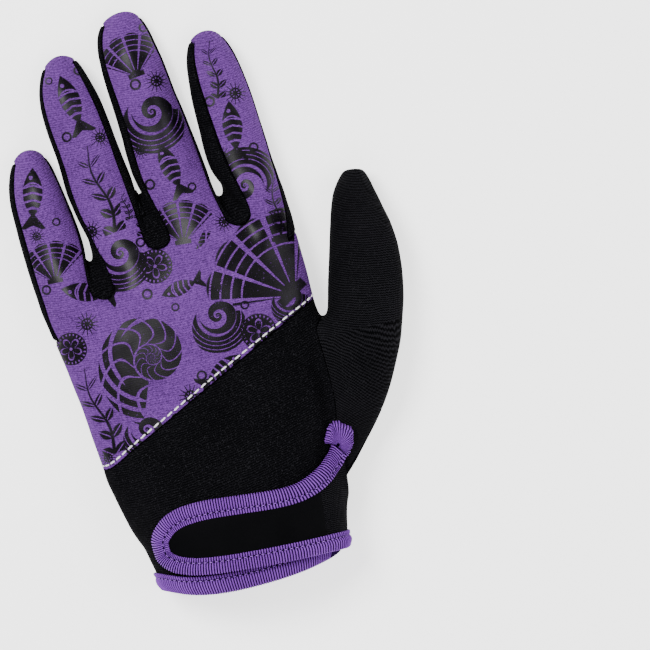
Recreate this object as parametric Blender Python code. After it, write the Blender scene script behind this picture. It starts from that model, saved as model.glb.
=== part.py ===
"""A diving glove for the left hand, lying palm down with its fingers straight.

The glove is one soft form, cut into the panels that it is sewn from. A low cage of quads gives the
form, a Subdivision Surface modifier rounds it, and each panel becomes a closed solid with the
thickness of the cloth. A closing strap, its edge binding, the binding of the wrist slit and the
hem binding are laid on that form.

+Y runs to the fingertips, +X to the thumb and +Z out of the back of the hand. The origin is on the
surface that the palm rests on. The tables are in millimetres, and the meshes are in metres.
"""

import math
from collections import namedtuple

import bpy
import numpy as np
from mathutils import Vector
from mathutils.bvhtree import BVHTree

# Driving dimensions, in millimetres
MM = 0.001
WALL = 1.8  # neoprene with cloth on both faces
GAP = 0.3  # between two panels
TAPE = 0.7  # thickness of the binding
TAPE_WIDTH = 6.6  # what shows of the binding on one face
FOLD_ROUND = 1.0  # the rounding of its fold
HEM_RAISE = 1.3  # the wrist's underside is off the floor by the binding under it
EDGE_INSET = 0.5  # how far inside an edge the surface is read
HEM_RETURN = 5.0  # the binding's width inside the wrist
HEM_START = 0.8  # its two ends stay this far apart at the slit
SLIT_GAP = 1.6  # how far the cuff's lip keeps back from the slit line
STRAP_THICK = 1.6
STRAP_LIFT = 1.5  # the strap clears the hem binding that it laps over
FIT_ROUNDS = 3  # passes that bring the smooth form onto the tables' points
SINK = 0.5  # the cage reaches this far under the floor, where the form is then cut flat

# The hand cut across, as shares of its height and half width
SIDE_LEVEL = 0.42  # where its side is fullest
COLUMN_REACH, KNUCKLE_REACH = 0.93, 0.985  # how far out the outermost columns lie
BACK_ROUND, PALM_ROUND = 2.4, 4  # powers of the two curves: a higher one is flatter
MOUTH_LOW = -72.9  # the mouth's edge is lowest in its middle, and rises to both sides
MOUTH_DROP, MOUTH_ROUND = 0.9, 5  # it stays this far below the sides, and this flat in between
LOW_TURN = 38  # a finger's side strip ends this far below level
BELLY = 0.48  # the level of a finger's or thumb's middle, as a share of its height

Row = namedtuple("Row", "left_x left_y right_x right_y top_right_y height")
# One row for each ring of the hand, from the mouth of the wrist up to the knuckles.
# left and right are the outline from above, top_right_y is where the ring meets the top
# of the thumb side.
HAND = (
    Row(-37.8, -65.5, 30.0, -68.6, -68.6, 30.5),
    Row(-40.4, -52.0, 32.4, -56.0, -56.0, 31.8),
    Row(-41.9, -47.0, 35.2, -48.5, -42.5, 32.4),
    Row(-43.4, -42.5, 41.2, -41.0, -28.5, 32.0),
    Row(-45.0, -36.5, 46.0, -22.0, -17.5, 30.5),
    Row(-46.4, -30.0, 47.0, 0.0, -1.5, 29.0),
    Row(-47.5, -23.5, 47.0, 18.3, 14.5, 28.0),
    Row(-48.2, -16.6, 45.8, 26.0, 24.0, 27.5),
    Row(-50.0, 8.0, 46.2, 40.0, 36.5, 26.5),
    Row(-53.2, 35.5, 45.8, 52.5, 49.5, 24.5),
)
SEAM_ROW = 7  # the diagonal seam between the cuff and the printed back
SLIT_TOP_ROW = 3  # the wrist slit runs from the mouth to here
THUMB_ROWS = (3, 4, 5, 6)  # the thumb leaves the hand's side between these

Edge = namedtuple("Edge", "x y z mid_x mid_y mid_z low_x low_y low_z")
# Where the hand's last ring meets the two sides of each finger: on the back, half way down the
# side, and on the palm. Between two fingers the web slopes forward from the back to the palm.
KNUCKLES = {
    "little": (
        Edge(-53.6, 46.5, 13.5, -55.6, 51.0, 9.0, -53.4, 57.0, 2.2),
        Edge(-34.6, 48.6, 17.8, -34.2, 57.0, 12.0, -35.2, 64.0, 3.6),
    ),
    "ring": (
        Edge(-26.4, 48.8, 18.6, -28.8, 57.5, 12.0, -31.0, 64.5, 3.6),
        Edge(-9.4, 61.4, 19.2, -9.8, 73.0, 12.0, -11.0, 82.5, 3.6),
    ),
    "middle": (
        Edge(-1.2, 61.4, 19.4, -3.8, 73.0, 12.0, -6.2, 82.5, 3.6),
        Edge(22.2, 62.6, 18.8, 20.6, 69.0, 12.0, 18.4, 75.0, 3.6),
    ),
    "index": (
        Edge(30.6, 62.6, 18.2, 26.8, 69.0, 12.0, 23.0, 75.0, 3.6),
        Edge(44.3, 61.0, 13.0, 45.6, 64.0, 8.5, 43.8, 70.0, 2.2),
    ),
}
KNUCKLE_TOP = 22.0
KNUCKLE_BOW = 1.5  # the ring's middle lies this far ahead of its corners

Ring = namedtuple("Ring", "top_y low_y left right height left_turn right_turn")
# The rings of each finger beyond the knuckles. The turns are the angles above level at which the
# back of the finger ends and its side strip begins, so they set how wide each strip looks.
FINGERS = {
    "little": (
        Ring(63.0, 73.0, -56.4, -33.9, 17.6, 32, 10),
        Ring(79.0, 85.5, -56.4, -35.2, 17.0, 30, -4),
        Ring(93.0, 95.5, -55.4, -36.7, 16.2, 28, -2),
        Ring(106.8, 104.2, -51.6, -39.2, 9.8, 26, 0),
    ),
    "ring": (
        Ring(75.0, 90.0, -33.8, -9.0, 18.2, 32, 34),
        Ring(95.0, 104.5, -34.5, -10.9, 18.0, 30, 34),
        Ring(113.0, 117.5, -35.9, -12.4, 17.4, 28, 34),
        Ring(127.5, 129.0, -34.8, -15.3, 16.0, 24, 34),
        Ring(138.8, 136.2, -31.0, -18.4, 9.8, 22, 30),
    ),
    "middle": (
        Ring(80.0, 92.0, -8.0, 18.4, 18.6, 36, 8),
        Ring(100.5, 108.0, -8.6, 16.4, 18.2, 34, -4),
        Ring(120.0, 124.0, -9.0, 14.3, 17.6, 28, -4),
        Ring(136.5, 138.0, -8.8, 12.0, 16.2, 24, -2),
        Ring(149.0, 146.2, -5.2, 9.4, 9.8, 22, 0),
    ),
    "index": (
        Ring(78.5, 86.0, 20.6, 44.1, 18.2, 68, 8),
        Ring(95.5, 100.0, 20.3, 43.4, 17.8, 58, -4),
        Ring(111.5, 114.0, 20.6, 42.3, 17.2, 52, -2),
        Ring(123.5, 124.5, 22.1, 40.5, 15.8, 46, 0),
        Ring(133.8, 131.2, 25.4, 37.6, 9.8, 40, 2),
    ),
}
TIPS = {  # the point of each finger, from above
    "little": (-45.4, 107.8),
    "ring": (-24.6, 139.3),
    "middle": (2.6, 149.6),
    "index": (31.6, 134.3),
}
TIP_Z = 4.6
TIP_CURVE = 2.4  # the last ring's corners lie this far behind its middle
TIP_FACES = ((7, 0, 1), (1, 2, 3), (3, 4, 5), (5, 6, 7))  # ring points in each face of the tip

ThumbRing = namedtuple("ThumbRing", "inner_x inner_y outer_x outer_y height")
THUMB = (
    ThumbRing(49.6, 20.4, 62.4, -18.2, 25.5),
    ThumbRing(52.3, 29.0, 77.6, 13.4, 24.0),
    ThumbRing(57.0, 45.0, 81.9, 37.5, 22.0),
    ThumbRing(62.0, 60.0, 80.0, 54.0, 19.0),
    ThumbRing(67.0, 67.3, 77.6, 65.6, 13.0),
)
THUMB_TIP = (72.6, 69.9, 8.6)
THUMB_TIP_HALF = 2.4
THUMB_TIP_SLANT = 0.9  # the tip's outer end lies this far back
THUMB_TURNS = (35, 71, 109, 145, 180, 215, 251, 289, 325, 360)  # round a ring, from its inner side

Stop = namedtuple("Stop", "along low high")
# The strap's outline laid flat. along is the distance round the wrist from the line x = 0, and
# low and high are its two edges there.
STRAP = (
    Stop(-36.0, -52.6, -47.4),
    Stop(-35.0, -55.4, -44.8),
    Stop(-32.6, -58.3, -42.2),
    Stop(-28.6, -61.0, -39.6),
    Stop(-22.0, -63.4, -37.9),
    Stop(-12.0, -65.2, -37.7),
    Stop(0.0, -66.4, -38.8),
    Stop(11.0, -67.2, -39.9),
    Stop(19.0, -67.6, -39.9),
    Stop(25.0, -67.8, -38.4),
    Stop(30.0, -67.9, -36.0),
    Stop(34.2, -68.0, -33.3),
    Stop(37.4, -68.0, -31.2),
    Stop(39.5, -68.0, -28.8),
    Stop(41.5, -68.0, -32.2),
    Stop(44.0, -68.0, -33.6),
)
BOUND_STOPS = 14  # the upper edge is bound as far as this stop
CORE_ROWS = 4
WRIST_AXIS = (-1.0, 15.0)  # x and z of the line that the wrist is measured round
SHEET_STEP = 2.0  # the wrist is measured at this spacing both ways
SHEET_FROM_Y, SHEET_TO_Y, SHEET_REACH = -68.0, -15.9, 52.0
SHEET_TURNS = (210, -31, -3)  # the rays of one section: first angle, end and step
SLIT_FROM_Y, SLIT_TO_Y = -61.9, -38.4  # how far the binding of the slit's lip runs
SLIT_REACH = 5.0
LOOP_AT = (42.1, -29.6)  # the mouth of the hood at the top of the slit, laid flat
LOOP_WAY, LOOP_LONG, LOOP_HALF = 64, 8.2, 5.9  # the hood's direction, length and half width
LOOP_SQUARE = 2.7  # its roundness: 2 is an oval, and a higher number is squarer
LOOP_TURNS = (146, -34, 14)  # first angle, last angle, steps
LOOP_LIFT = 0.8
# The hood cut across: share of its reach from the mouth, height above the cuff
LOOP_PROFILE = ((0.14, 0), (0.92, 0), (1, 0.9), (0.94, 2.3), (0.74, 3.4), (0.45, 3.6), (0.14, 2.8))

Paint = namedtuple("Paint", "colour roughness")
PURPLE = Paint((0.19, 0.075, 0.42), 0.75)
BINDING = Paint((0.17, 0.05, 0.38), 0.6)
KNIT = Paint((0.006, 0.006, 0.007), 0.9)
SUEDE = Paint((0.008, 0.008, 0.009), 0.95)

NAMES = ("little", "ring", "middle", "index")
PANELS = {
    "back_panel": PURPLE,
    "cuff_back": KNIT,
    "palm_panel": SUEDE,
    "thumb_back": KNIT,
    "little_outer_strip": KNIT,
    "little_ring_strip": KNIT,
    "ring_middle_strip": KNIT,
    "middle_index_strip": KNIT,
    "index_outer_strip": KNIT,
}
STRIPS = tuple(PANELS)[4:]  # strip k is left of finger k, strip k + 1 is right of it
TOPS = 3 * len(NAMES)  # columns on the back of the hand
AROUND = 2 * TOPS + 2  # columns right round the hand


class Cage:
    """Points by name, and four-sided faces with the panel that each belongs to."""

    def __init__(self):
        self.points, self.index, self.faces, self.panels = [], {}, [], []

    def point(self, key, x, y, z):
        self.index[key] = len(self.points)
        self.points.append((x, y, z))

    def face(self, panel, *keys):
        self.faces.append([self.index[key] for key in keys])
        self.panels.append(list(PANELS).index(panel))

    def tube(self, first, second, panels):
        """The band of faces between two rings of keys."""
        count = len(first)
        for k, panel in enumerate(panels):
            after = (k + 1) % count
            self.face(panel, first[k], first[after], second[after], second[k])


def across():
    """How far across the hand each column on its back lies, from 0 to 1."""
    xs = []
    for name in NAMES:
        left, right = KNUCKLES[name]
        xs += [left.x, (left.x + right.x) / 2, right.x]
    return [(x - xs[0]) / (xs[-1] - xs[0]) for x in xs]


def add_hand(cage):
    """The rings of the hand: over the back, down the thumb side, under the palm and back up."""
    shares = across()
    for i, row in enumerate(HAND):
        middle, half = (row.left_x + row.right_x) / 2, (row.right_x - row.left_x) / 2
        side_z = SIDE_LEVEL * row.height
        taper = KNUCKLE_REACH if i == len(HAND) - 1 else COLUMN_REACH
        for c, share in enumerate(shares):
            left_reach = taper if share < 0.5 else COLUMN_REACH
            u = -left_reach + (left_reach + COLUMN_REACH) * share
            x = middle + half * u
            top_y = row.left_y + (row.top_right_y - row.left_y) * share
            low_y = row.left_y + (row.right_y - row.left_y) * share
            if i == 0:
                left_rise = (row.left_y - MOUTH_DROP - MOUTH_LOW) * (1 - share) ** MOUTH_ROUND
                right_rise = (row.right_y - MOUTH_DROP - MOUTH_LOW) * share**MOUTH_ROUND
                top_y = MOUTH_LOW + left_rise + right_rise
                low_y = top_y
            top_z = side_z + (row.height - side_z) * math.sqrt(1 - abs(u) ** BACK_ROUND)
            floor = HEM_RAISE if i < 2 else -SINK
            low_z = side_z - (side_z - floor) * math.sqrt(1 - abs(u) ** PALM_ROUND)
            cage.point(("hand", i, c), x, top_y, top_z)
            cage.point(("hand", i, AROUND - 2 - c), x, low_y, low_z)
        if i not in THUMB_ROWS[1:-1]:
            cage.point(("hand", i, TOPS), row.right_x, row.right_y, side_z)
        cage.point(("hand", i, AROUND - 1), row.left_x, row.left_y, side_z)


def knuckle_ring(cage, f, name):
    """A finger's first ring, shared with the hand. It runs over the back, down the right side,
    under the finger and up the left side."""
    left, right = KNUCKLES[name]
    last = len(HAND)
    c = 3 * f
    keys = [("hand", last, c + k) for k in range(3)]
    keys.append(("hand", last, TOPS) if name == NAMES[-1] else ("web", name, "right"))
    keys += [("hand", last, AROUND - 4 - c + k) for k in range(3)]
    keys.append(("hand", last, AROUND - 1) if name == NAMES[0] else ("web", name, "left"))
    middle_x, low_x = (left.x + right.x) / 2, (left.low_x + right.low_x) / 2
    cage.point(keys[0], left.x, left.y, left.z)
    cage.point(keys[1], middle_x, (left.y + right.y) / 2 + KNUCKLE_BOW, KNUCKLE_TOP)
    cage.point(keys[2], right.x, right.y, right.z)
    cage.point(keys[3], right.mid_x, right.mid_y, right.mid_z)
    cage.point(keys[4], right.low_x, right.low_y, right.low_z)
    cage.point(keys[5], low_x, (left.low_y + right.low_y) / 2, -SINK)
    cage.point(keys[6], left.low_x, left.low_y, left.low_z)
    cage.point(keys[7], left.mid_x, left.mid_y, left.mid_z)
    return keys


def add_finger(cage, f, name):
    ring = knuckle_ring(cage, f, name)
    left, right = STRIPS[f], STRIPS[f + 1]
    for k, row in enumerate(FINGERS[name]):
        end = k == len(FINGERS[name]) - 1
        middle, half = (row.left + row.right) / 2, (row.right - row.left) / 2
        turns = [180 - row.left_turn, 0, row.right_turn, 0, -LOW_TURN, -90, -180 + LOW_TURN, 0]
        turns[1] = (turns[0] + turns[2]) / 2
        turns[3] = (turns[2] + turns[4]) / 2
        turns[7] = 180 + (LOW_TURN - row.left_turn) / 2
        new = [(name, k, n) for n in range(8)]
        for n, key in enumerate(new):
            angle = math.radians(turns[n])
            forward = (1 - math.sin(angle)) / 2
            corner = TIP_CURVE if end and n % 2 == 0 else 0.0
            cage.point(
                key,
                middle + half * math.cos(angle),
                row.top_y + (row.low_y - row.top_y) * forward - corner,
                row.height * (BELLY + (1 - BELLY) * math.sin(angle)),
            )
        under = (right, left) if end else ("palm_panel", "palm_panel")
        cage.tube(ring, new, ("back_panel", "back_panel", right, right, *under, left, left))
        ring = new
    tip = (name, "tip")
    cage.point(tip, *TIPS[name], TIP_Z)
    for panel, corners in zip(("back_panel", "back_panel", right, left), TIP_FACES):
        cage.face(panel, *(ring[n] for n in corners), tip)


def add_webs(cage):
    last = len(HAND)
    for f, (name, other) in enumerate(zip(NAMES, NAMES[1:])):
        top, low = 3 * f + 2, AROUND - 4 - 3 * f
        a, b = ("web", name, "right"), ("web", other, "left")
        cage.face(STRIPS[f + 1], ("hand", last, top), ("hand", last, top + 1), b, a)
        cage.face(STRIPS[f + 1], a, b, ("hand", last, low - 1), ("hand", last, low))


def hand_panel(band, column):
    """The panel of a face of the hand, or None where the thumb takes its place."""
    if column < TOPS - 1:
        return "back_panel" if band >= SEAM_ROW else "cuff_back"
    if TOPS < column < AROUND - 2:
        return "palm_panel"
    thumb_side, upper = column <= TOPS, column in (TOPS - 1, AROUND - 1)
    if band == len(HAND) - 1:
        return STRIPS[-1] if thumb_side else STRIPS[0]
    if thumb_side and THUMB_ROWS[0] <= band < THUMB_ROWS[-1]:
        return None
    if thumb_side and band < SLIT_TOP_ROW or not upper:
        return "palm_panel"
    return "back_panel" if band >= SEAM_ROW else "cuff_back"


def add_bands(cage):
    for band in range(len(HAND)):
        for column in range(AROUND):
            panel = hand_panel(band, column)
            if panel is None:
                continue
            after = (column + 1) % AROUND
            cage.face(
                panel,
                ("hand", band, column),
                ("hand", band, after),
                ("hand", band + 1, after),
                ("hand", band + 1, column),
            )


def add_thumb(cage):
    """The thumb leaves a hole of three by two faces in the hand's side and bends forward."""
    ring = [("hand", i, TOPS - 1) for i in reversed(THUMB_ROWS)]
    ring.append(("hand", THUMB_ROWS[0], TOPS))
    ring += [("hand", i, TOPS + 1) for i in THUMB_ROWS]
    ring.append(("hand", THUMB_ROWS[-1], TOPS))
    for k, row in enumerate(THUMB):
        inner, outer = Vector((row.inner_x, row.inner_y)), Vector((row.outer_x, row.outer_y))
        middle, half = (inner + outer) / 2, (inner - outer) / 2
        new = [("thumb", k, n) for n in range(len(THUMB_TURNS))]
        for key, turn in zip(new, THUMB_TURNS):
            angle = math.radians(turn)
            at = middle + half * math.cos(angle)
            level = BELLY + (1 - BELLY) * math.sin(angle)
            cage.point(key, at.x, at.y, row.height * level)
        if k == 0:
            panels = ("thumb_back",) * 4 + ("palm_panel",) * 5 + ("thumb_back",)
        elif k < len(THUMB) - 1:
            panels = ("thumb_back",) * 5 + ("palm_panel",) * 4 + ("thumb_back",)
        else:
            panels = ("thumb_back",) * 10
        cage.tube(ring, new, panels)
        ring = new
    inner, outer = ("thumb", "tip", 0), ("thumb", "tip", 1)
    x, y, z = THUMB_TIP
    cage.point(inner, x - THUMB_TIP_HALF, y, z)
    cage.point(outer, x + THUMB_TIP_HALF, y - THUMB_TIP_SLANT, z)
    for corners in (
        (ring[9], ring[0], ring[1], inner),
        (inner, ring[1], ring[2], outer),
        (outer, ring[2], ring[3], ring[4]),
        (outer, ring[4], ring[5], ring[6]),
        (inner, outer, ring[6], ring[7]),
        (ring[9], inner, ring[7], ring[8]),
    ):
        cage.face("thumb_back", *corners)


def rounded(points, faces, panels):
    """The cage under a Subdivision Surface modifier: its points, faces and panels."""
    mesh = bpy.data.meshes.new("form")
    mesh.from_pydata([Vector(p) for p in points], [], faces)
    mesh.polygons.foreach_set("material_index", panels)
    obj = bpy.data.objects.new("form", mesh)
    bpy.context.scene.collection.objects.link(obj)
    smooth = obj.modifiers.new("round", "SUBSURF")
    smooth.levels = smooth.render_levels = 1
    shape = obj.evaluated_get(bpy.context.evaluated_depsgraph_get()).to_mesh()
    at = np.array([v.co for v in shape.vertices])
    quads = [list(p.vertices) for p in shape.polygons]
    kinds = [p.material_index for p in shape.polygons]
    bpy.data.objects.remove(obj)
    bpy.data.meshes.remove(mesh)
    return at, quads, kinds


def make_form():
    """The glove's outer surface, which runs through the points of the tables and lies flat."""
    cage = Cage()
    add_hand(cage)
    for f, name in enumerate(NAMES):
        add_finger(cage, f, name)
    add_webs(cage)
    add_bands(cage)
    add_thumb(cage)
    wanted = np.array(cage.points)
    held = wanted.copy()
    for _ in range(FIT_ROUNDS):
        at, quads, kinds = rounded(held, cage.faces, cage.panels)
        held += wanted - at[: len(wanted)]
    at, quads, kinds = rounded(held, cage.faces, cage.panels)
    at[:, 2] = np.maximum(at[:, 2], 0.0)
    return at, quads, kinds


def normals_of(at, quads):
    """A unit normal at each point, from the faces around it."""
    corners = at[np.array(quads)]
    face = np.cross(corners[:, 2] - corners[:, 0], corners[:, 3] - corners[:, 1])
    total = np.zeros_like(at)
    for k in range(4):
        np.add.at(total, np.array(quads)[:, k], face)
    return total / np.linalg.norm(total, axis=1, keepdims=True)


def border_steps(at, quads):
    """For each point on the rim of a panel, the unit direction that leads into the panel."""
    count = {}
    for quad in quads:
        for a, b in zip(quad, quad[1:] + quad[:1]):
            count.setdefault(frozenset((a, b)), []).append((a, b, quad))
    ends, inward = {}, {}
    for uses in count.values():
        if len(uses) > 1:
            continue
        a, b, quad = uses[0]
        centre = at[quad].mean(axis=0)
        for p in (a, b):
            ends.setdefault(p, []).append(at[b] - at[a])
            inward.setdefault(p, []).append(centre - (at[a] + at[b]) / 2)
    steps = {}
    for p, along in ends.items():
        run = along[0] / np.linalg.norm(along[0]) + along[1] / np.linalg.norm(along[1])
        step = sum(inward[p])
        length = np.linalg.norm(run)
        if length > 0.2:
            run = run / length
            step = step - run * step.dot(run)
        steps[p] = step / np.linalg.norm(step)
    return steps


def new_object(name, points, faces, paint):
    """A node from points in millimetres, with its own material."""
    mesh = bpy.data.meshes.new(name)
    mesh.from_pydata([Vector(p) * MM for p in points], [], faces)
    mesh.update()
    material = bpy.data.materials.new(name)
    material.use_nodes = True
    shader = material.node_tree.nodes["Principled BSDF"]
    shader.inputs["Base Color"].default_value = (*paint.colour, 1.0)
    shader.inputs["Roughness"].default_value = paint.roughness
    shader.inputs["Metallic"].default_value = 0.0
    mesh.materials.append(material)
    mesh.shade_smooth()
    mesh.set_sharp_from_angle(angle=math.radians(40))
    obj = bpy.data.objects.new(name, mesh)
    bpy.context.scene.collection.objects.link(obj)
    return obj


def slit_points(at, quads, kinds):
    """The points where the cuff meets the palm piece along the wrist slit, on the thumb side."""
    sides = {"cuff_back": set(), "palm_panel": set()}
    for quad, kind in zip(quads, kinds):
        name = list(PANELS)[kind]
        if name in sides:
            sides[name].update(quad)
    both = sides["cuff_back"] & sides["palm_panel"]
    top = HAND[SLIT_TOP_ROW]
    return {
        p for p in both
        if 0 < at[p][0] < top.right_x - 1 and at[p][1] < top.top_right_y + 1
    }


def make_panel(name, at, quads, normals, slit):
    """A closed solid: the panel's outer face, its inner face and the wall round its rim."""
    steps = border_steps(at, quads)
    outer = {}
    for p in sorted({p for quad in quads for p in quad}):
        place = at[p].copy()
        if p in steps:
            back = SLIT_GAP if name == "cuff_back" and p in slit else GAP / 2
            place += steps[p] * back
        outer[p] = place
    order = {p: n for n, p in enumerate(outer)}
    points = list(outer.values())
    points += [place - normals[p] * WALL for p, place in outer.items()]
    total = len(order)
    faces, edges = [], {}
    for quad in quads:
        ring = [order[p] for p in quad]
        faces.append(ring)
        faces.append([n + total for n in reversed(ring)])
        for a, b in zip(ring, ring[1:] + ring[:1]):
            edges[(a, b)] = (b, a)
    for (a, b), back in edges.items():
        if back not in edges:
            faces.append([b, a, a + total, b + total])
    return new_object(name, points, faces, PANELS[name])


def make_panels(at, quads, kinds, slit):
    normals = normals_of(at, quads)
    for k, name in enumerate(PANELS):
        mine = [quad for quad, kind in zip(quads, kinds) if kind == k]
        make_panel(name, at, mine, normals, slit)


def rim_walk(quads):
    """The points round the open mouth of the form, in order."""
    used = {(a, b) for quad in quads for a, b in zip(quad, quad[1:] + quad[:1])}
    follow = {b: a for a, b in used if (b, a) not in used}
    walk = [min(follow)]
    while follow[walk[-1]] != walk[0]:
        walk.append(follow[walk[-1]])
    return walk


def fold_profile(low, high, near, width_low, width_high):
    """A binding folded over an edge, cut across: distance beyond the edge, height. low and high
    are its outer faces, and near is how far its fold reaches beyond the edge."""
    round_by = min(FOLD_ROUND, (high - low) / 2 - TAPE / 7)
    return (
        (-width_low, low),
        (near - round_by, low),
        (near, low + round_by),
        (near, high - round_by),
        (near - round_by, high),
        (-width_high, high),
        (-width_high, high - TAPE),
        (near - TAPE, high - TAPE),
        (near - TAPE, low + TAPE),
        (-width_low, low + TAPE),
    )


def swept(name, sections, paint):
    """A closed solid through sections with the same number of points, capped at both ends."""
    count = len(sections[0])
    faces = [list(range(count))[::-1]]
    for k in range(len(sections) - 1):
        for n in range(count):
            after = (n + 1) % count
            faces.append([k * count + n, k * count + after])
            faces[-1] += [(k + 1) * count + after, (k + 1) * count + n]
    faces.append([n + (len(sections) - 1) * count for n in range(count)])
    return new_object(name, [p for section in sections for p in section], faces, paint)


class Wrist:
    """The top and sides of the wrist as a sheet. A distance round the wrist from the line x = 0,
    a place along the glove and a height above the form give one point."""

    def __init__(self, at, quads):
        tree = BVHTree.FromPolygons([Vector(p) for p in at], quads)
        self.ys = np.arange(SHEET_FROM_Y, SHEET_TO_Y, SHEET_STEP)
        self.ways = np.arange(-SHEET_REACH, SHEET_REACH + MM, SHEET_STEP)
        self.sheet = np.zeros((len(self.ys), len(self.ways), 3))
        for k, y in enumerate(self.ys):
            run = []
            for turn in range(*SHEET_TURNS):
                way = Vector((math.cos(math.radians(turn)), 0, math.sin(math.radians(turn))))
                hit = tree.ray_cast(Vector((WRIST_AXIS[0], y, WRIST_AXIS[1])), way)[0]
                if hit is not None:
                    run.append(hit)
            run = np.array(run)
            far = np.concatenate([[0], np.cumsum(np.linalg.norm(np.diff(run, axis=0), axis=1))])
            top = run[:, 2] > WRIST_AXIS[1]
            far -= np.interp(0.0, run[top, 0], far[top])
            for n in range(3):
                self.sheet[k, :, n] = np.interp(self.ways, far, run[:, n])
        out = np.cross(np.gradient(self.sheet, axis=1), np.gradient(self.sheet, axis=0))
        self.out = out / np.linalg.norm(out, axis=2, keepdims=True)

    def place(self, along, y, lift):
        r = np.clip((y - self.ys[0]) / SHEET_STEP, 0, len(self.ys) - 1.001)
        c = np.clip((along - self.ways[0]) / SHEET_STEP, 0, len(self.ways) - 1.001)
        i, j, u, v = int(r), int(c), r - int(r), c - int(c)

        def mixed(grid):
            low = grid[i, j] * (1 - v) + grid[i, j + 1] * v
            high = grid[i + 1, j] * (1 - v) + grid[i + 1, j + 1] * v
            return low * (1 - u) + high * u

        beyond = min(y - self.ys[0], 0.0)
        return mixed(self.sheet) + mixed(self.out) * lift + np.array((0.0, beyond, 0.0))


def outward(path, k):
    """The unit direction to the left of a flat path at its point k, lengthened at a bend."""
    before = path[k] - path[max(k - 1, 0)] if k else path[1] - path[0]
    after = path[k + 1] - path[k] if k < len(path) - 1 else before
    sides = [Vector((-d.y, d.x)).normalized() for d in (before, after)]
    total = (sides[0] + sides[1]).normalized()
    return total / max(total.dot(sides[0]), 0.5)


def strap_edges():
    low = [Vector((stop.along, stop.low)) for stop in STRAP]
    high = [Vector((stop.along, stop.high)) for stop in STRAP]
    return low, high


def make_strap(wrist):
    """The closing strap: a soft tongue from the thumb side over the back of the wrist."""
    low, high = strap_edges()
    path = low[::-1] + high
    moved = [p - outward(path, k) * (TAPE + GAP) for k, p in enumerate(path)]
    low, high = moved[: len(low)][::-1], moved[len(low) :]
    base = STRAP_LIFT + TAPE + GAP
    sections = []
    for a, b in zip(low, high):
        line = [a.lerp(b, n / CORE_ROWS) for n in range(CORE_ROWS + 1)]
        under = [wrist.place(p.x, p.y, base) for p in line]
        over = [wrist.place(p.x, p.y, base + STRAP_THICK) for p in reversed(line)]
        sections.append(under + over)
    swept("strap", sections, KNIT)


def make_strap_binding(wrist):
    low, high = strap_edges()
    path = low[::-1] + high[:BOUND_STOPS]
    top = STRAP_LIFT + STRAP_THICK + 2 * (TAPE + GAP)
    profile = fold_profile(STRAP_LIFT, top, 0.0, TAPE_WIDTH, TAPE_WIDTH)
    sections = []
    for k, p in enumerate(path):
        out = outward(path, k)
        sections.append([wrist.place(*(p + out * e), n) for e, n in profile])
    swept("strap_binding", sections, BINDING)


def make_slit_loop(wrist):
    """The binding where it turns round the top of the slit, pushed up into a puckered hood. From
    above it is half a squarish oval, fanned out from its mouth."""
    first, last, steps = LOOP_TURNS
    sections = []
    for k in range(steps + 1):
        turn = math.radians(first + (last - first) * k / steps)
        way = Vector((math.cos(turn), math.sin(turn)))
        aside = turn - math.radians(LOOP_WAY)
        ahead, beside = abs(math.cos(aside)) / LOOP_LONG, abs(math.sin(aside)) / LOOP_HALF
        reach = (ahead**LOOP_SQUARE + beside**LOOP_SQUARE) ** (-1 / LOOP_SQUARE)
        section = []
        for share, high in LOOP_PROFILE:
            section.append(wrist.place(*(Vector(LOOP_AT) + way * reach * share), LOOP_LIFT + high))
        sections.append(section)
    swept("slit_loop", sections, BINDING)


class Surface:
    """The form with a smooth normal everywhere, for laying a binding on its edge."""

    def __init__(self, at, quads):
        self.at, self.quads = at, quads
        self.normals = normals_of(at, quads)
        self.tree = BVHTree.FromPolygons([Vector(p) for p in at], quads)

    def nearest(self, place):
        foot, _, face, _ = self.tree.find_nearest(place)
        corners = self.quads[face]
        weights = [1 / (0.01 + (Vector(self.at[p]) - foot).length_squared) for p in corners]
        out = sum((Vector(self.normals[p]) * w for p, w in zip(corners, weights)), Vector())
        return foot, out.normalized()


def edge_binding(name, surface, path, edge_back, widths):
    """A binding folded over a cloth's edge. path gives points of the form near the edge with the
    direction that leads into the cloth, and the edge lies edge_back in from them. widths are the
    binding's reach on the inside and the outside."""
    near = GAP + TAPE - edge_back
    profile = fold_profile(-WALL - GAP - TAPE, GAP + TAPE, near, *widths)
    sections = []
    for at, into in path:
        section = []
        for beyond, high in profile:
            on_cloth = min(beyond, -EDGE_INSET)
            foot, out = surface.nearest(at - into * on_cloth)
            section.append(foot - into * (beyond - on_cloth) + out * high)
        sections.append(section)
    swept(name, sections, BINDING)


def make_slit_binding(at, quads, slit):
    """The binding of the cuff's lip along the slit, from the hem to the turned loop."""
    line = sorted(slit, key=lambda p: at[p][1])
    inward = {}
    for quad in quads:
        for a, b in zip(quad, quad[1:] + quad[:1]):
            for p, q in ((a, b), (b, a)):
                if p in slit and q not in slit and at[q][0] < at[p][0]:
                    inward[p] = Vector(at[q] - at[p]).normalized()
    path = []
    for p, q in zip(line, line[1:]):
        for y in (SLIT_FROM_Y, at[q][1], SLIT_TO_Y):
            if at[p][1] < y <= at[q][1] and SLIT_FROM_Y <= y <= SLIT_TO_Y:
                share = (y - at[p][1]) / (at[q][1] - at[p][1])
                place = Vector(at[p]).lerp(Vector(at[q]), share)
                path.append((place, inward[p].lerp(inward[q], share).normalized()))
    widths = (SLIT_REACH, SLIT_REACH)
    edge_binding("slit_binding", Surface(at, quads), path[::-1], SLIT_GAP, widths)


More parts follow.
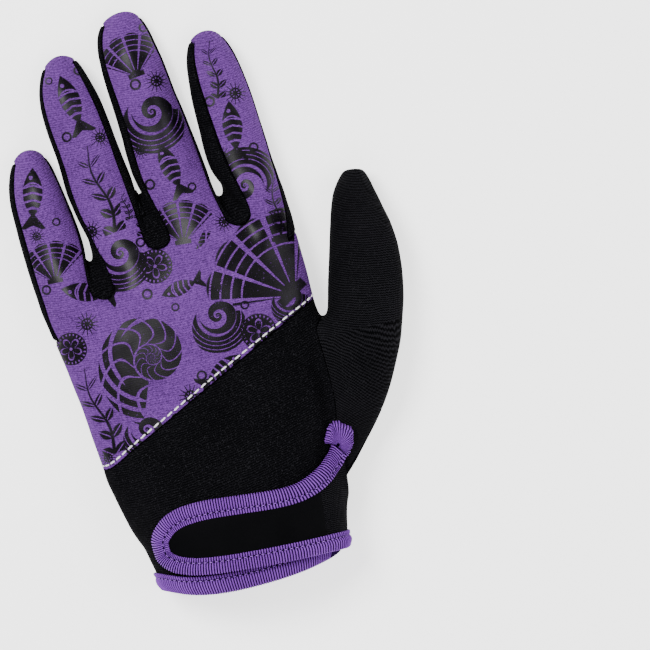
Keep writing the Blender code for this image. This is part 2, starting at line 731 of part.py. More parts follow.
def make_hem(at, quads):
    walk = rim_walk(quads)
    rim = set(walk)
    inward = {}
    for quad in quads:
        for a, b in zip(quad, quad[1:] + quad[:1]):
            if a in rim and b not in rim:
                inward[a] = Vector(at[b] - at[a]).normalized()
    slit = max(walk, key=lambda p: at[p][0] + at[p][2])
    turn = walk.index(slit)
    walk = walk[turn:] + walk[:turn]
    if at[walk[1]][2] < at[walk[-1]][2]:
        walk = walk[:1] + walk[:0:-1]
    path = [(Vector(at[p]), inward[p]) for p in walk + walk[:1]]
    first, second = path[0], path[1]
    path[0] = (first[0] + (second[0] - first[0]).normalized() * HEM_START, first[1])
    edge_binding("hem_binding", Surface(at, quads), path, 0.0, (HEM_RETURN, TAPE_WIDTH))


def main():
    for obj in list(bpy.data.objects):
        bpy.data.objects.remove(obj)
    at, quads, kinds = make_form()
    slit = slit_points(at, quads, kinds)
    make_panels(at, quads, kinds, slit)
    wrist = Wrist(at, quads)
    make_strap(wrist)
    make_strap_binding(wrist)
    make_slit_binding(at, quads, slit)
    make_slit_loop(wrist)
    make_hem(at, quads)


main()
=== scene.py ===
# %% [markdown]
# # A diving glove for the left hand
# This lesson dresses a packed glove in Blender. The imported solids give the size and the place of
# every part, and this script lays a fine surface over each one: stretch knit, synthetic suede,
# ribbed tape and thread. The glove lies palm down. +Y runs to the fingertips, +X to the thumb and
# +Z out of the back of the hand. Tables are in millimetres, and meshes are in metres.

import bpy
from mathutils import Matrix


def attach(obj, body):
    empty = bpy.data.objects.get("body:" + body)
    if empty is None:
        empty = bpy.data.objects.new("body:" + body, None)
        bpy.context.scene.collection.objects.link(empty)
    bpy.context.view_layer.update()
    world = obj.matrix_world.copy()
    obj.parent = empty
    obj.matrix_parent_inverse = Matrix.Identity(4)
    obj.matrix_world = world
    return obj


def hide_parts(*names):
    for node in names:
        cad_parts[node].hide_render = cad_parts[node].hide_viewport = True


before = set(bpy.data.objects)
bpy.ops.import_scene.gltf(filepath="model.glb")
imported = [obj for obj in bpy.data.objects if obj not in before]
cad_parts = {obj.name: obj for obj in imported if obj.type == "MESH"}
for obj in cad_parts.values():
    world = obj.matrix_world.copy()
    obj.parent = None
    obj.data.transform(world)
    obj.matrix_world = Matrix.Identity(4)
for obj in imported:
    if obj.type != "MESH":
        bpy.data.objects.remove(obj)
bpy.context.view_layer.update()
print("packed nodes:", len(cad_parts))

# %% Blender's modules and the units
import math
from collections import namedtuple

import bpy
import numpy as np
from mathutils import Vector, noise
from mathutils.bvhtree import BVHTree
from mathutils.kdtree import KDTree

MM = 0.001
collection = bpy.context.scene.collection

# %% [markdown]
# ## Camera
# The picture was taken from straight above with a long lens, so the glove shows almost no
# perspective. The camera hangs high over the table. It is turned about its own axis, because the
# glove leans to the left in the frame.

# %% Camera straight above the table
PICTURE_WIDE = 247.0  # millimetres of table across the frame
PICTURE_LEAN = 15.0  # degrees
PICTURE_MIDDLE = (47.3, 14.9)
CAMERA_HIGH = 2200.0
GLOVE_HIGH = 10.0  # the level at which the frame has that width
SENSOR = 36.0

lens = bpy.data.cameras.new("camera")
lens.sensor_width = SENSOR
lens.lens = SENSOR * (CAMERA_HIGH - GLOVE_HIGH) / PICTURE_WIDE
lens.clip_start, lens.clip_end = 0.1, 50.0
camera = bpy.data.objects.new("camera", lens)
camera.location = (PICTURE_MIDDLE[0] * MM, PICTURE_MIDDLE[1] * MM, CAMERA_HIGH * MM)
camera.rotation_euler = (0, 0, -math.radians(PICTURE_LEAN))
collection.objects.link(camera)
bpy.context.scene.camera = camera
print("lens", round(lens.lens), "mm")

# %% [markdown]
# ## Floor and light
# A pale sweep and three large soft lamps give the even light of a shop photograph. One lamp is
# close overhead, so the knit shows its ribs, and two weaker ones fill the sides.

# %% Floor and lamps
FLOOR_HALF = 2.5
bpy.ops.mesh.primitive_plane_add(size=2 * FLOOR_HALF, location=(0, 0, -0.0003))
floor = bpy.context.object
floor.name = "floor"

Lamp = namedtuple("Lamp", "name x y z size watts")
LAMPS = (
    Lamp("key", -0.50, 0.60, 1.2, 0.6, 30.0),
    Lamp("fill", 0.9, -0.1, 0.9, 0.9, 9.0),
    Lamp("low", -0.2, -0.9, 0.8, 0.8, 7.0),
)
for lamp in LAMPS:
    light = bpy.data.lights.new(lamp.name, "AREA")
    light.size, light.energy = lamp.size, lamp.watts
    obj = bpy.data.objects.new(lamp.name, light)
    obj.location = (lamp.x, lamp.y, lamp.z)
    obj.rotation_euler = (-Vector(obj.location)).to_track_quat("-Z", "Y").to_euler()
    collection.objects.link(obj)

world = bpy.data.worlds.new("studio")
world.use_nodes = True
world.node_tree.nodes["Background"].inputs["Color"].default_value = (1.0, 1.0, 1.0, 1.0)
world.node_tree.nodes["Background"].inputs["Strength"].default_value = 0.55
bpy.context.scene.world = world

# %% [markdown]
# ## The form of the glove
# A glove is one soft form. The quickest way to a smooth one is a low cage of quads under a
# Subdivision Surface modifier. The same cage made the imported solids, so the fine surface passes
# through all of their points. Here are its measurements.

# %% The cage's measurements
WALL, GAP, TAPE, TAPE_WIDTH = 1.8, 0.3, 0.7, 6.6
HEM_RAISE, EDGE_INSET, HEM_RETURN, SLIT_GAP = 1.3, 0.5, 5.0, 1.6
STRAP_THICK, STRAP_LIFT, FIT_ROUNDS, SINK = 1.6, 1.5, 3, 0.5
SIDE_LEVEL, COLUMN_REACH, KNUCKLE_REACH, BELLY = 0.42, 0.93, 0.985, 0.48
BACK_ROUND, PALM_ROUND, LOW_TURN = 2.4, 4, 38
MOUTH_LOW, MOUTH_DROP, MOUTH_ROUND = -72.9, 0.9, 5

Row = namedtuple("Row", "left_x left_y right_x right_y top_right_y height")
# One row for each ring of the hand, from the mouth of the wrist up to the knuckles.
# left and right are the outline from above, top_right_y is where the ring meets the top
# of the thumb side.
HAND = (
    Row(-37.8, -65.5, 30.0, -68.6, -68.6, 30.5),
    Row(-40.4, -52.0, 32.4, -56.0, -56.0, 31.8),
    Row(-41.9, -47.0, 35.2, -48.5, -42.5, 32.4),
    Row(-43.4, -42.5, 41.2, -41.0, -28.5, 32.0),
    Row(-45.0, -36.5, 46.0, -22.0, -17.5, 30.5),
    Row(-46.4, -30.0, 47.0, 0.0, -1.5, 29.0),
    Row(-47.5, -23.5, 47.0, 18.3, 14.5, 28.0),
    Row(-48.2, -16.6, 45.8, 26.0, 24.0, 27.5),
    Row(-50.0, 8.0, 46.2, 40.0, 36.5, 26.5),
    Row(-53.2, 35.5, 45.8, 52.5, 49.5, 24.5),
)
SEAM_ROW = 7  # the diagonal seam between the cuff and the printed back
SLIT_TOP_ROW = 3  # the wrist slit runs from the mouth to here
THUMB_ROWS = (3, 4, 5, 6)  # the thumb leaves the hand's side between these

Edge = namedtuple("Edge", "x y z mid_x mid_y mid_z low_x low_y low_z")
# Where the hand's last ring meets the two sides of each finger: on the back, half way down the
# side, and on the palm. Between two fingers the web slopes forward from the back to the palm.
KNUCKLES = {
    "little": (
        Edge(-53.6, 46.5, 13.5, -55.6, 51.0, 9.0, -53.4, 57.0, 2.2),
        Edge(-34.6, 48.6, 17.8, -34.2, 57.0, 12.0, -35.2, 64.0, 3.6),
    ),
    "ring": (
        Edge(-26.4, 48.8, 18.6, -28.8, 57.5, 12.0, -31.0, 64.5, 3.6),
        Edge(-9.4, 61.4, 19.2, -9.8, 73.0, 12.0, -11.0, 82.5, 3.6),
    ),
    "middle": (
        Edge(-1.2, 61.4, 19.4, -3.8, 73.0, 12.0, -6.2, 82.5, 3.6),
        Edge(22.2, 62.6, 18.8, 20.6, 69.0, 12.0, 18.4, 75.0, 3.6),
    ),
    "index": (
        Edge(30.6, 62.6, 18.2, 26.8, 69.0, 12.0, 23.0, 75.0, 3.6),
        Edge(44.3, 61.0, 13.0, 45.6, 64.0, 8.5, 43.8, 70.0, 2.2),
    ),
}
KNUCKLE_TOP = 22.0
KNUCKLE_BOW = 1.5  # the ring's middle lies this far ahead of its corners

Ring = namedtuple("Ring", "top_y low_y left right height left_turn right_turn")
# The rings of each finger beyond the knuckles. The turns are the angles above level at which the
# back of the finger ends and its side strip begins, so they set how wide each strip looks.
FINGERS = {
    "little": (
        Ring(63.0, 73.0, -56.4, -33.9, 17.6, 32, 10),
        Ring(79.0, 85.5, -56.4, -35.2, 17.0, 30, -4),
        Ring(93.0, 95.5, -55.4, -36.7, 16.2, 28, -2),
        Ring(106.8, 104.2, -51.6, -39.2, 9.8, 26, 0),
    ),
    "ring": (
        Ring(75.0, 90.0, -33.8, -9.0, 18.2, 32, 34),
        Ring(95.0, 104.5, -34.5, -10.9, 18.0, 30, 34),
        Ring(113.0, 117.5, -35.9, -12.4, 17.4, 28, 34),
        Ring(127.5, 129.0, -34.8, -15.3, 16.0, 24, 34),
        Ring(138.8, 136.2, -31.0, -18.4, 9.8, 22, 30),
    ),
    "middle": (
        Ring(80.0, 92.0, -8.0, 18.4, 18.6, 36, 8),
        Ring(100.5, 108.0, -8.6, 16.4, 18.2, 34, -4),
        Ring(120.0, 124.0, -9.0, 14.3, 17.6, 28, -4),
        Ring(136.5, 138.0, -8.8, 12.0, 16.2, 24, -2),
        Ring(149.0, 146.2, -5.2, 9.4, 9.8, 22, 0),
    ),
    "index": (
        Ring(78.5, 86.0, 20.6, 44.1, 18.2, 68, 8),
        Ring(95.5, 100.0, 20.3, 43.4, 17.8, 58, -4),
        Ring(111.5, 114.0, 20.6, 42.3, 17.2, 52, -2),
        Ring(123.5, 124.5, 22.1, 40.5, 15.8, 46, 0),
        Ring(133.8, 131.2, 25.4, 37.6, 9.8, 40, 2),
    ),
}
TIPS = {  # the point of each finger, from above
    "little": (-45.4, 107.8),
    "ring": (-24.6, 139.3),
    "middle": (2.6, 149.6),
    "index": (31.6, 134.3),
}
TIP_Z = 4.6
TIP_CURVE = 2.4  # the last ring's corners lie this far behind its middle
TIP_FACES = ((7, 0, 1), (1, 2, 3), (3, 4, 5), (5, 6, 7))  # ring points in each face of the tip

ThumbRing = namedtuple("ThumbRing", "inner_x inner_y outer_x outer_y height")
THUMB = (
    ThumbRing(49.6, 20.4, 62.4, -18.2, 25.5),
    ThumbRing(52.3, 29.0, 77.6, 13.4, 24.0),
    ThumbRing(57.0, 45.0, 81.9, 37.5, 22.0),
    ThumbRing(62.0, 60.0, 80.0, 54.0, 19.0),
    ThumbRing(67.0, 67.3, 77.6, 65.6, 13.0),
)
THUMB_TIP = (72.6, 69.9, 8.6)
THUMB_TIP_HALF = 2.4
THUMB_TIP_SLANT = 0.9  # the tip's outer end lies this far back
THUMB_TURNS = (35, 71, 109, 145, 180, 215, 251, 289, 325, 360)  # round a ring, from its inner side

Stop = namedtuple("Stop", "along low high")
# The strap's outline laid flat. along is the distance round the wrist from the line x = 0, and
# low and high are its two edges there.
STRAP = (
    Stop(-36.0, -52.6, -47.4),
    Stop(-35.0, -55.4, -44.8),
    Stop(-32.6, -58.3, -42.2),
    Stop(-28.6, -61.0, -39.6),
    Stop(-22.0, -63.4, -37.9),
    Stop(-12.0, -65.2, -37.7),
    Stop(0.0, -66.4, -38.8),
    Stop(11.0, -67.2, -39.9),
    Stop(19.0, -67.6, -39.9),
    Stop(25.0, -67.8, -38.4),
    Stop(30.0, -67.9, -36.0),
    Stop(34.2, -68.0, -33.3),
    Stop(37.4, -68.0, -31.2),
    Stop(39.5, -68.0, -28.8),
    Stop(41.5, -68.0, -32.2),
    Stop(44.0, -68.0, -33.6),
)
BOUND_STOPS = 14  # the upper edge is bound as far as this stop
CORE_ROWS = 4
WRIST_AXIS = (-1.0, 15.0)  # x and z of the line that the wrist is measured round
SHEET_STEP = 2.0  # the wrist is measured at this spacing both ways
SHEET_FROM_Y, SHEET_TO_Y, SHEET_REACH = -68.0, -15.9, 52.0
SHEET_TURNS = (210, -31, -3)  # the rays of one section: first angle, end and step
SLIT_FROM_Y, SLIT_TO_Y = -61.9, -38.4  # how far the binding of the slit's lip runs
SLIT_REACH = 5.0
LOOP_AT = (42.1, -29.6)  # the mouth of the hood at the top of the slit, laid flat
LOOP_WAY, LOOP_LONG, LOOP_HALF = 64, 8.2, 5.9  # the hood's direction, length and half width
LOOP_SQUARE = 2.7  # its roundness: 2 is an oval, and a higher number is squarer
LOOP_TURNS = (146, -34, 14)  # first angle, last angle, steps
LOOP_LIFT = 0.8
# The hood cut across: share of its reach from the mouth, height above the cuff
LOOP_PROFILE = ((0.14, 0), (0.92, 0), (1, 0.9), (0.94, 2.3), (0.74, 3.4), (0.45, 3.6), (0.14, 2.8))

# %% Panels by name
NAMES = ("little", "ring", "middle", "index")
PANELS = (
    "back_panel",
    "cuff_back",
    "palm_panel",
    "thumb_back",
    "little_outer_strip",
    "little_ring_strip",
    "ring_middle_strip",
    "middle_index_strip",
    "index_outer_strip",
)
STRIPS = PANELS[4:]
TOPS = 3 * len(NAMES)
AROUND = 2 * TOPS + 2
print("panels:", len(PANELS))


# %% [markdown]
# ## The cage
# Each ring of the hand has twelve columns on the back and twelve under the palm. A finger takes
# three of each, plus one on either side, so its rings are eight points round.

# %% The cage's points and faces
class Cage:
    """Points by name, and four-sided faces with the panel that each belongs to."""

    def __init__(self):
        self.points, self.index, self.faces, self.panels = [], {}, [], []

    def point(self, key, x, y, z):
        self.index[key] = len(self.points)
        self.points.append((x, y, z))

    def face(self, panel, *keys):
        self.faces.append([self.index[key] for key in keys])
        self.panels.append(PANELS.index(panel))

    def tube(self, first, second, panels):
        """The band of faces between two rings of keys."""
        count = len(first)
        for k, panel in enumerate(panels):
            after = (k + 1) % count
            self.face(panel, first[k], first[after], second[after], second[k])


def across():
    """How far across the hand each column on its back lies, from 0 to 1."""
    xs = []
    for name in NAMES:
        left, right = KNUCKLES[name]
        xs += [left.x, (left.x + right.x) / 2, right.x]
    return [(x - xs[0]) / (xs[-1] - xs[0]) for x in xs]


def add_hand(cage):
    """The rings of the hand: over the back, down the thumb side, under the palm and back up."""
    shares = across()
    for i, row in enumerate(HAND):
        middle, half = (row.left_x + row.right_x) / 2, (row.right_x - row.left_x) / 2
        side_z = SIDE_LEVEL * row.height
        taper = KNUCKLE_REACH if i == len(HAND) - 1 else COLUMN_REACH
        for c, share in enumerate(shares):
            left_reach = taper if share < 0.5 else COLUMN_REACH
            u = -left_reach + (left_reach + COLUMN_REACH) * share
            x = middle + half * u
            top_y = row.left_y + (row.top_right_y - row.left_y) * share
            low_y = row.left_y + (row.right_y - row.left_y) * share
            if i == 0:
                left_rise = (row.left_y - MOUTH_DROP - MOUTH_LOW) * (1 - share) ** MOUTH_ROUND
                right_rise = (row.right_y - MOUTH_DROP - MOUTH_LOW) * share**MOUTH_ROUND
                top_y = MOUTH_LOW + left_rise + right_rise
                low_y = top_y
            top_z = side_z + (row.height - side_z) * math.sqrt(1 - abs(u) ** BACK_ROUND)
            floor = HEM_RAISE if i < 2 else -SINK
            low_z = side_z - (side_z - floor) * math.sqrt(1 - abs(u) ** PALM_ROUND)
            cage.point(("hand", i, c), x, top_y, top_z)
            cage.point(("hand", i, AROUND - 2 - c), x, low_y, low_z)
        if i not in THUMB_ROWS[1:-1]:
            cage.point(("hand", i, TOPS), row.right_x, row.right_y, side_z)
        cage.point(("hand", i, AROUND - 1), row.left_x, row.left_y, side_z)


def knuckle_ring(cage, f, name):
    """A finger's first ring, shared with the hand. It runs over the back, down the right side,
    under the finger and up the left side."""
    left, right = KNUCKLES[name]
    last = len(HAND)
    c = 3 * f
    keys = [("hand", last, c + k) for k in range(3)]
    keys.append(("hand", last, TOPS) if name == NAMES[-1] else ("web", name, "right"))
    keys += [("hand", last, AROUND - 4 - c + k) for k in range(3)]
    keys.append(("hand", last, AROUND - 1) if name == NAMES[0] else ("web", name, "left"))
    middle_x, low_x = (left.x + right.x) / 2, (left.low_x + right.low_x) / 2
    cage.point(keys[0], left.x, left.y, left.z)
    cage.point(keys[1], middle_x, (left.y + right.y) / 2 + KNUCKLE_BOW, KNUCKLE_TOP)
    cage.point(keys[2], right.x, right.y, right.z)
    cage.point(keys[3], right.mid_x, right.mid_y, right.mid_z)
    cage.point(keys[4], right.low_x, right.low_y, right.low_z)
    cage.point(keys[5], low_x, (left.low_y + right.low_y) / 2, -SINK)
    cage.point(keys[6], left.low_x, left.low_y, left.low_z)
    cage.point(keys[7], left.mid_x, left.mid_y, left.mid_z)
    return keys


def add_finger(cage, f, name):
    ring = knuckle_ring(cage, f, name)
    left, right = STRIPS[f], STRIPS[f + 1]
    for k, row in enumerate(FINGERS[name]):
        end = k == len(FINGERS[name]) - 1
        middle, half = (row.left + row.right) / 2, (row.right - row.left) / 2
        turns = [180 - row.left_turn, 0, row.right_turn, 0, -LOW_TURN, -90, -180 + LOW_TURN, 0]
        turns[1] = (turns[0] + turns[2]) / 2
        turns[3] = (turns[2] + turns[4]) / 2
        turns[7] = 180 + (LOW_TURN - row.left_turn) / 2
        new = [(name, k, n) for n in range(8)]
        for n, key in enumerate(new):
            angle = math.radians(turns[n])
            forward = (1 - math.sin(angle)) / 2
            corner = TIP_CURVE if end and n % 2 == 0 else 0.0
            cage.point(
                key,
                middle + half * math.cos(angle),
                row.top_y + (row.low_y - row.top_y) * forward - corner,
                row.height * (BELLY + (1 - BELLY) * math.sin(angle)),
            )
        under = (right, left) if end else ("palm_panel", "palm_panel")
        cage.tube(ring, new, ("back_panel", "back_panel", right, right, *under, left, left))
        ring = new
    tip = (name, "tip")
    cage.point(tip, *TIPS[name], TIP_Z)
    for panel, corners in zip(("back_panel", "back_panel", right, left), TIP_FACES):
        cage.face(panel, *(ring[n] for n in corners), tip)


def add_webs(cage):
    last = len(HAND)
    for f, (name, other) in enumerate(zip(NAMES, NAMES[1:])):
        top, low = 3 * f + 2, AROUND - 4 - 3 * f
        a, b = ("web", name, "right"), ("web", other, "left")
        cage.face(STRIPS[f + 1], ("hand", last, top), ("hand", last, top + 1), b, a)
        cage.face(STRIPS[f + 1], a, b, ("hand", last, low - 1), ("hand", last, low))


def hand_panel(band, column):
    """The panel of a face of the hand, or None where the thumb takes its place."""
    if column < TOPS - 1:
        return "back_panel" if band >= SEAM_ROW else "cuff_back"
    if TOPS < column < AROUND - 2:
        return "palm_panel"
    thumb_side, upper = column <= TOPS, column in (TOPS - 1, AROUND - 1)
    if band == len(HAND) - 1:
        return STRIPS[-1] if thumb_side else STRIPS[0]
    if thumb_side and THUMB_ROWS[0] <= band < THUMB_ROWS[-1]:
        return None
    if thumb_side and band < SLIT_TOP_ROW or not upper:
        return "palm_panel"
    return "back_panel" if band >= SEAM_ROW else "cuff_back"


def add_bands(cage):
    for band in range(len(HAND)):
        for column in range(AROUND):
            panel = hand_panel(band, column)
            if panel is None:
                continue
            after = (column + 1) % AROUND
            cage.face(
                panel,
                ("hand", band, column),
                ("hand", band, after),
                ("hand", band + 1, after),
                ("hand", band + 1, column),
            )


def add_thumb(cage):
    """The thumb leaves a hole of three by two faces in the hand's side and bends forward."""
    ring = [("hand", i, TOPS - 1) for i in reversed(THUMB_ROWS)]
    ring.append(("hand", THUMB_ROWS[0], TOPS))
    ring += [("hand", i, TOPS + 1) for i in THUMB_ROWS]
    ring.append(("hand", THUMB_ROWS[-1], TOPS))
    for k, row in enumerate(THUMB):
        inner, outer = Vector((row.inner_x, row.inner_y)), Vector((row.outer_x, row.outer_y))
        middle, half = (inner + outer) / 2, (inner - outer) / 2
        new = [("thumb", k, n) for n in range(len(THUMB_TURNS))]
        for key, turn in zip(new, THUMB_TURNS):
            angle = math.radians(turn)
            at = middle + half * math.cos(angle)
            level = BELLY + (1 - BELLY) * math.sin(angle)
            cage.point(key, at.x, at.y, row.height * level)
        if k == 0:
            panels = ("thumb_back",) * 4 + ("palm_panel",) * 5 + ("thumb_back",)
        elif k < len(THUMB) - 1:
            panels = ("thumb_back",) * 5 + ("palm_panel",) * 4 + ("thumb_back",)
        else:
            panels = ("thumb_back",) * 10
        cage.tube(ring, new, panels)
        ring = new
    inner, outer = ("thumb", "tip", 0), ("thumb", "tip", 1)
    x, y, z = THUMB_TIP
    cage.point(inner, x - THUMB_TIP_HALF, y, z)
    cage.point(outer, x + THUMB_TIP_HALF, y - THUMB_TIP_SLANT, z)
    for corners in (
        (ring[9], ring[0], ring[1], inner),
        (inner, ring[1], ring[2], outer),
        (outer, ring[2], ring[3], ring[4]),
        (outer, ring[4], ring[5], ring[6]),
        (inner, outer, ring[6], ring[7]),
        (ring[9], inner, ring[7], ring[8]),
    ):
        cage.face("thumb_back", *corners)


# %% [markdown]
# ## Rounding the cage
# Catmull-Clark smoothing shrinks a cage, so the script moves the cage out a little, three times
# over, until the smooth form runs through the measured points.

# %% The smooth form
def rounded(points, faces, panels, level):
    """The cage under a Subdivision Surface modifier: points, quads and the panel of each quad."""
    mesh = bpy.data.meshes.new("form")
    mesh.from_pydata([Vector(p) for p in points], [], faces)
    mesh.polygons.foreach_set("material_index", panels)
    obj = bpy.data.objects.new("form", mesh)
    collection.objects.link(obj)
    smooth = obj.modifiers.new("round", "SUBSURF")
    smooth.levels = smooth.render_levels = level
    shape = obj.evaluated_get(bpy.context.evaluated_depsgraph_get()).to_mesh()
    at = np.empty(3 * len(shape.vertices))
    shape.vertices.foreach_get("co", at)
    quads = np.empty(4 * len(shape.polygons), dtype=int)
    shape.polygons.foreach_get("vertices", quads)
    kinds = np.empty(len(shape.polygons), dtype=int)
    shape.polygons.foreach_get("material_index", kinds)
    bpy.data.objects.remove(obj)
    bpy.data.meshes.remove(mesh)
    return at.reshape(-1, 3), quads.reshape(-1, 4), kinds


def fitted_cage():
    cage = Cage()
    add_hand(cage)
    for f, name in enumerate(NAMES):
        add_finger(cage, f, name)
    add_webs(cage)
    add_bands(cage)
    add_thumb(cage)
    wanted = np.array(cage.points)
    held = wanted.copy()
    for _ in range(FIT_ROUNDS):
        at = rounded(held, cage.faces, cage.panels, 1)[0]
        held += wanted - at[: len(wanted)]
    return cage, held


def normals_of(at, quads):
    """A unit normal at each point, from the faces around it."""
    corners = at[quads]
    face = np.cross(corners[:, 2] - corners[:, 0], corners[:, 3] - corners[:, 1])
    total = np.zeros_like(at)
    for k in range(4):
        np.add.at(total, quads[:, k], face)
    return total / np.maximum(np.linalg.norm(total, axis=1, keepdims=True), 1e-9)


cage, held = fitted_cage()
print("cage:", len(held), "points,", len(cage.faces), "faces")


# %% [markdown]
# ## One fine form at two levels
# Four rounds of smoothing give quads of half a millimetre or so, enough for stitches that pull at
# the cloth. The palm lies on the table, so three rounds do there. Both levels pass through the
# same points, and so their edges meet.

# %% Fine forms, with a soft unevenness
FINE_LEVELS = {"palm_panel": 3}
WAVES = ((15.0, 0.30), (6.5, 0.13))  # size and height of each layer of unevenness
FLAT_BELOW = 1.5  # what lies on the table stays flat

Fold = namedtuple("Fold", "x y turn long wide deep")
# Soft creases in the cloth: middle, direction, half length, half width and depth
FOLDS = (
    Fold(47.0, 13.0, 62, 9.0, 2.0, 0.7),
    Fold(51.0, 9.0, 40, 8.0, 1.8, 0.5),
    Fold(56.0, 4.0, 20, 9.0, 2.2, 0.5),
    Fold(46.0, 19.0, 110, 5.0, 1.4, 0.4),
    Fold(62.0, 22.0, -25, 8.0, 2.2, 0.35),
    Fold(40.0, -14.0, 75, 13.0, 2.6, 0.5),
    Fold(30.0, -22.0, 100, 11.0, 3.0, 0.35),
    Fold(-38.0, -28.0, 60, 10.0, 3.0, 0.3),
    Fold(-22.0, -32.0, 20, 14.0, 3.0, 0.3),
    Fold(-45.0, 50.0, 8, 9.0, 2.0, 0.3),
    Fold(-22.0, 60.0, -6, 9.0, 2.2, 0.3),
    Fold(5.0, 66.0, 4, 9.0, 2.2, 0.3),
    Fold(33.0, 66.0, 8, 9.0, 2.2, 0.3),
    Fold(71.0, 44.0, 5, 9.0, 1.8, 0.25),
)


def relief(at, normals):
    """How far the cloth stands off the smooth form at each point: waves and creases."""
    rise = np.zeros(len(at))
    for size, height in WAVES:
        shift = Vector((3.1, 8.7, size))
        rise += [height * noise.noise(Vector(p) / size + shift) for p in at.tolist()]
    top = np.clip((normals[:, 2] + 0.3) / 0.8, 0, 1)
    for fold in FOLDS:
        turn = math.radians(fold.turn)
        dx, dy = at[:, 0] - fold.x, at[:, 1] - fold.y
        along = dx * math.cos(turn) + dy * math.sin(turn)
        aside = -dx * math.sin(turn) + dy * math.cos(turn)
        cut = np.exp(-((aside / fold.wide) ** 2)) - 0.45 * np.exp(-((aside / fold.wide / 2) ** 2))
        rise -= top * fold.deep * cut * np.exp(-((along / fold.long) ** 2))
    return rise * np.clip(at[:, 2] / FLAT_BELOW - 0.3, 0, 1)


def fine_form(level):
    at, quads, kinds = rounded(held, cage.faces, cage.panels, level)
    at[:, 2] = np.maximum(at[:, 2], 0.0)
    normals = normals_of(at, quads)
    at = at + normals * relief(at, normals)[:, None]
    return at, quads, kinds, normals_of(at, quads)


forms = {level: fine_form(level) for level in (3, 4)}
for level, form in forms.items():
    print("level", level, "has", len(form[1]), "quads")


# %% [markdown]
# ## Making a mesh piece
# Every piece comes from lists of points and faces. It rides on the glove's only body and takes the
# place of its imported solid.

# %% The piece maker
FINISHES = {}


def finish_named(name):
    if name not in FINISHES:
        FINISHES[name] = bpy.data.materials.new(name)
        FINISHES[name].use_nodes = True
    return FINISHES[name]


def new_piece(name, points, faces, finishes, node=None, kinds=None, sharp=55):
    """A piece in the scene from points in millimetres. kinds gives each face's finish."""
    mesh = bpy.data.meshes.new(name)
    mesh.from_pydata((np.asarray(points) * MM).tolist(), [], faces)
    for finish in finishes:
        mesh.materials.append(finish_named(finish))
    if kinds is not None:
        mesh.polygons.foreach_set("material_index", kinds)
    mesh.shade_smooth()
    mesh.set_sharp_from_angle(angle=math.radians(sharp))
    obj = bpy.data.objects.new(name + "_fine" if node else name, mesh)
    collection.objects.link(obj)
    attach(obj, "root")
    if node:
        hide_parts(node)
    print(name, len(faces), "faces")
    return obj


# %% [markdown]
# ## Seams
# A glove is sewn inside out, so at each seam both panels roll down into a narrow valley. Only the
# diagonal seam on the back differs: there the printed cloth is hemmed, laid over the cuff and
# sewn down from above, so its edge stands up as a small bead with a stitched groove behind it.

# %% The shape of each seam
SEAM_ROLL = 0.95
STRIP_ROLL = 0.5  # flatter seams between a finger's side strip and the palm
TIP_ROLL, THUMB_ROLL = 0.32, 0.18  # and flatter still at the fingertips and the thumb's root
THUMB_SEAM = {"cuff_back", "thumb_back"}
HEM_ROLL = 0.35
BEAD_WIDE, BEAD_HIGH = 1.9, 0.32
GROOVE_WIDE, GROOVE_DEEP = 0.55, 0.38
STITCH_PITCH = 3.3
PUCKER_WIDE, PUCKER_DEEP = 1.6, 0.12


def rolled(far, radius):
    """The drop of a rolled edge at a distance from the seam."""
    near = np.clip(1 - far / radius, 0, 1)
    return -radius * (1 - np.sqrt(np.maximum(1 - near**2, 0)))


def beaded(far, run):
    """The hemmed edge: bead, stitched groove and the cloth pulled down at each stitch."""
    bead = BEAD_HIGH * np.sqrt(np.clip(1 - ((far - BEAD_WIDE / 2) / (BEAD_WIDE / 2)) ** 2, 0, 1))
    groove = GROOVE_DEEP * np.exp(-(((far - BEAD_WIDE) / GROOVE_WIDE) ** 2))
    pull = 0.5 - 0.5 * np.cos(2 * math.pi * run / STITCH_PITCH)
    pucker = PUCKER_DEEP * pull * np.exp(-(((far - BEAD_WIDE) / PUCKER_WIDE) ** 2))
    return bead - groove - pucker + rolled(far, HEM_ROLL)


# %% The edges of a panel
def edge_table(quads, kinds):
    """Every edge of the form, as its two points and the panels on its sides (-1 is none)."""
    a = quads.ravel()
    b = np.roll(quads, -1, axis=1).ravel()
    kind = np.repeat(kinds, 4)
    key = np.minimum(a, b) * (quads.max() + 1) + np.maximum(a, b)
    order = np.argsort(key, kind="stable")
    key, a, b, kind = key[order], a[order], b[order], kind[order]
    twin = np.full(len(key), -1)
    same = np.flatnonzero(key[1:] == key[:-1])
    twin[same], twin[same + 1] = kind[same + 1], kind[same]
    return a, b, kind, twin


def in_slit(at):
    """Whether a point of the seam between cuff and palm lies on the open wrist slit."""
    top = HAND[SLIT_TOP_ROW]
    return (at[:, 0] > 0) & (at[:, 0] < top.right_x - 1) & (at[:, 1] < top.top_right_y + 1)


def seam_run(at, a, b):
    """The seam's points with three more between each pair."""
    shares = np.array((0.0, 0.25, 0.5, 0.75))
    return (at[a][:, None] * (1 - shares)[:, None] + at[b][:, None] * shares[:, None]).reshape(-1, 3)


SEAM_ALONG = Vector((93.9, 41.0)).normalized()  # the diagonal seam's general direction


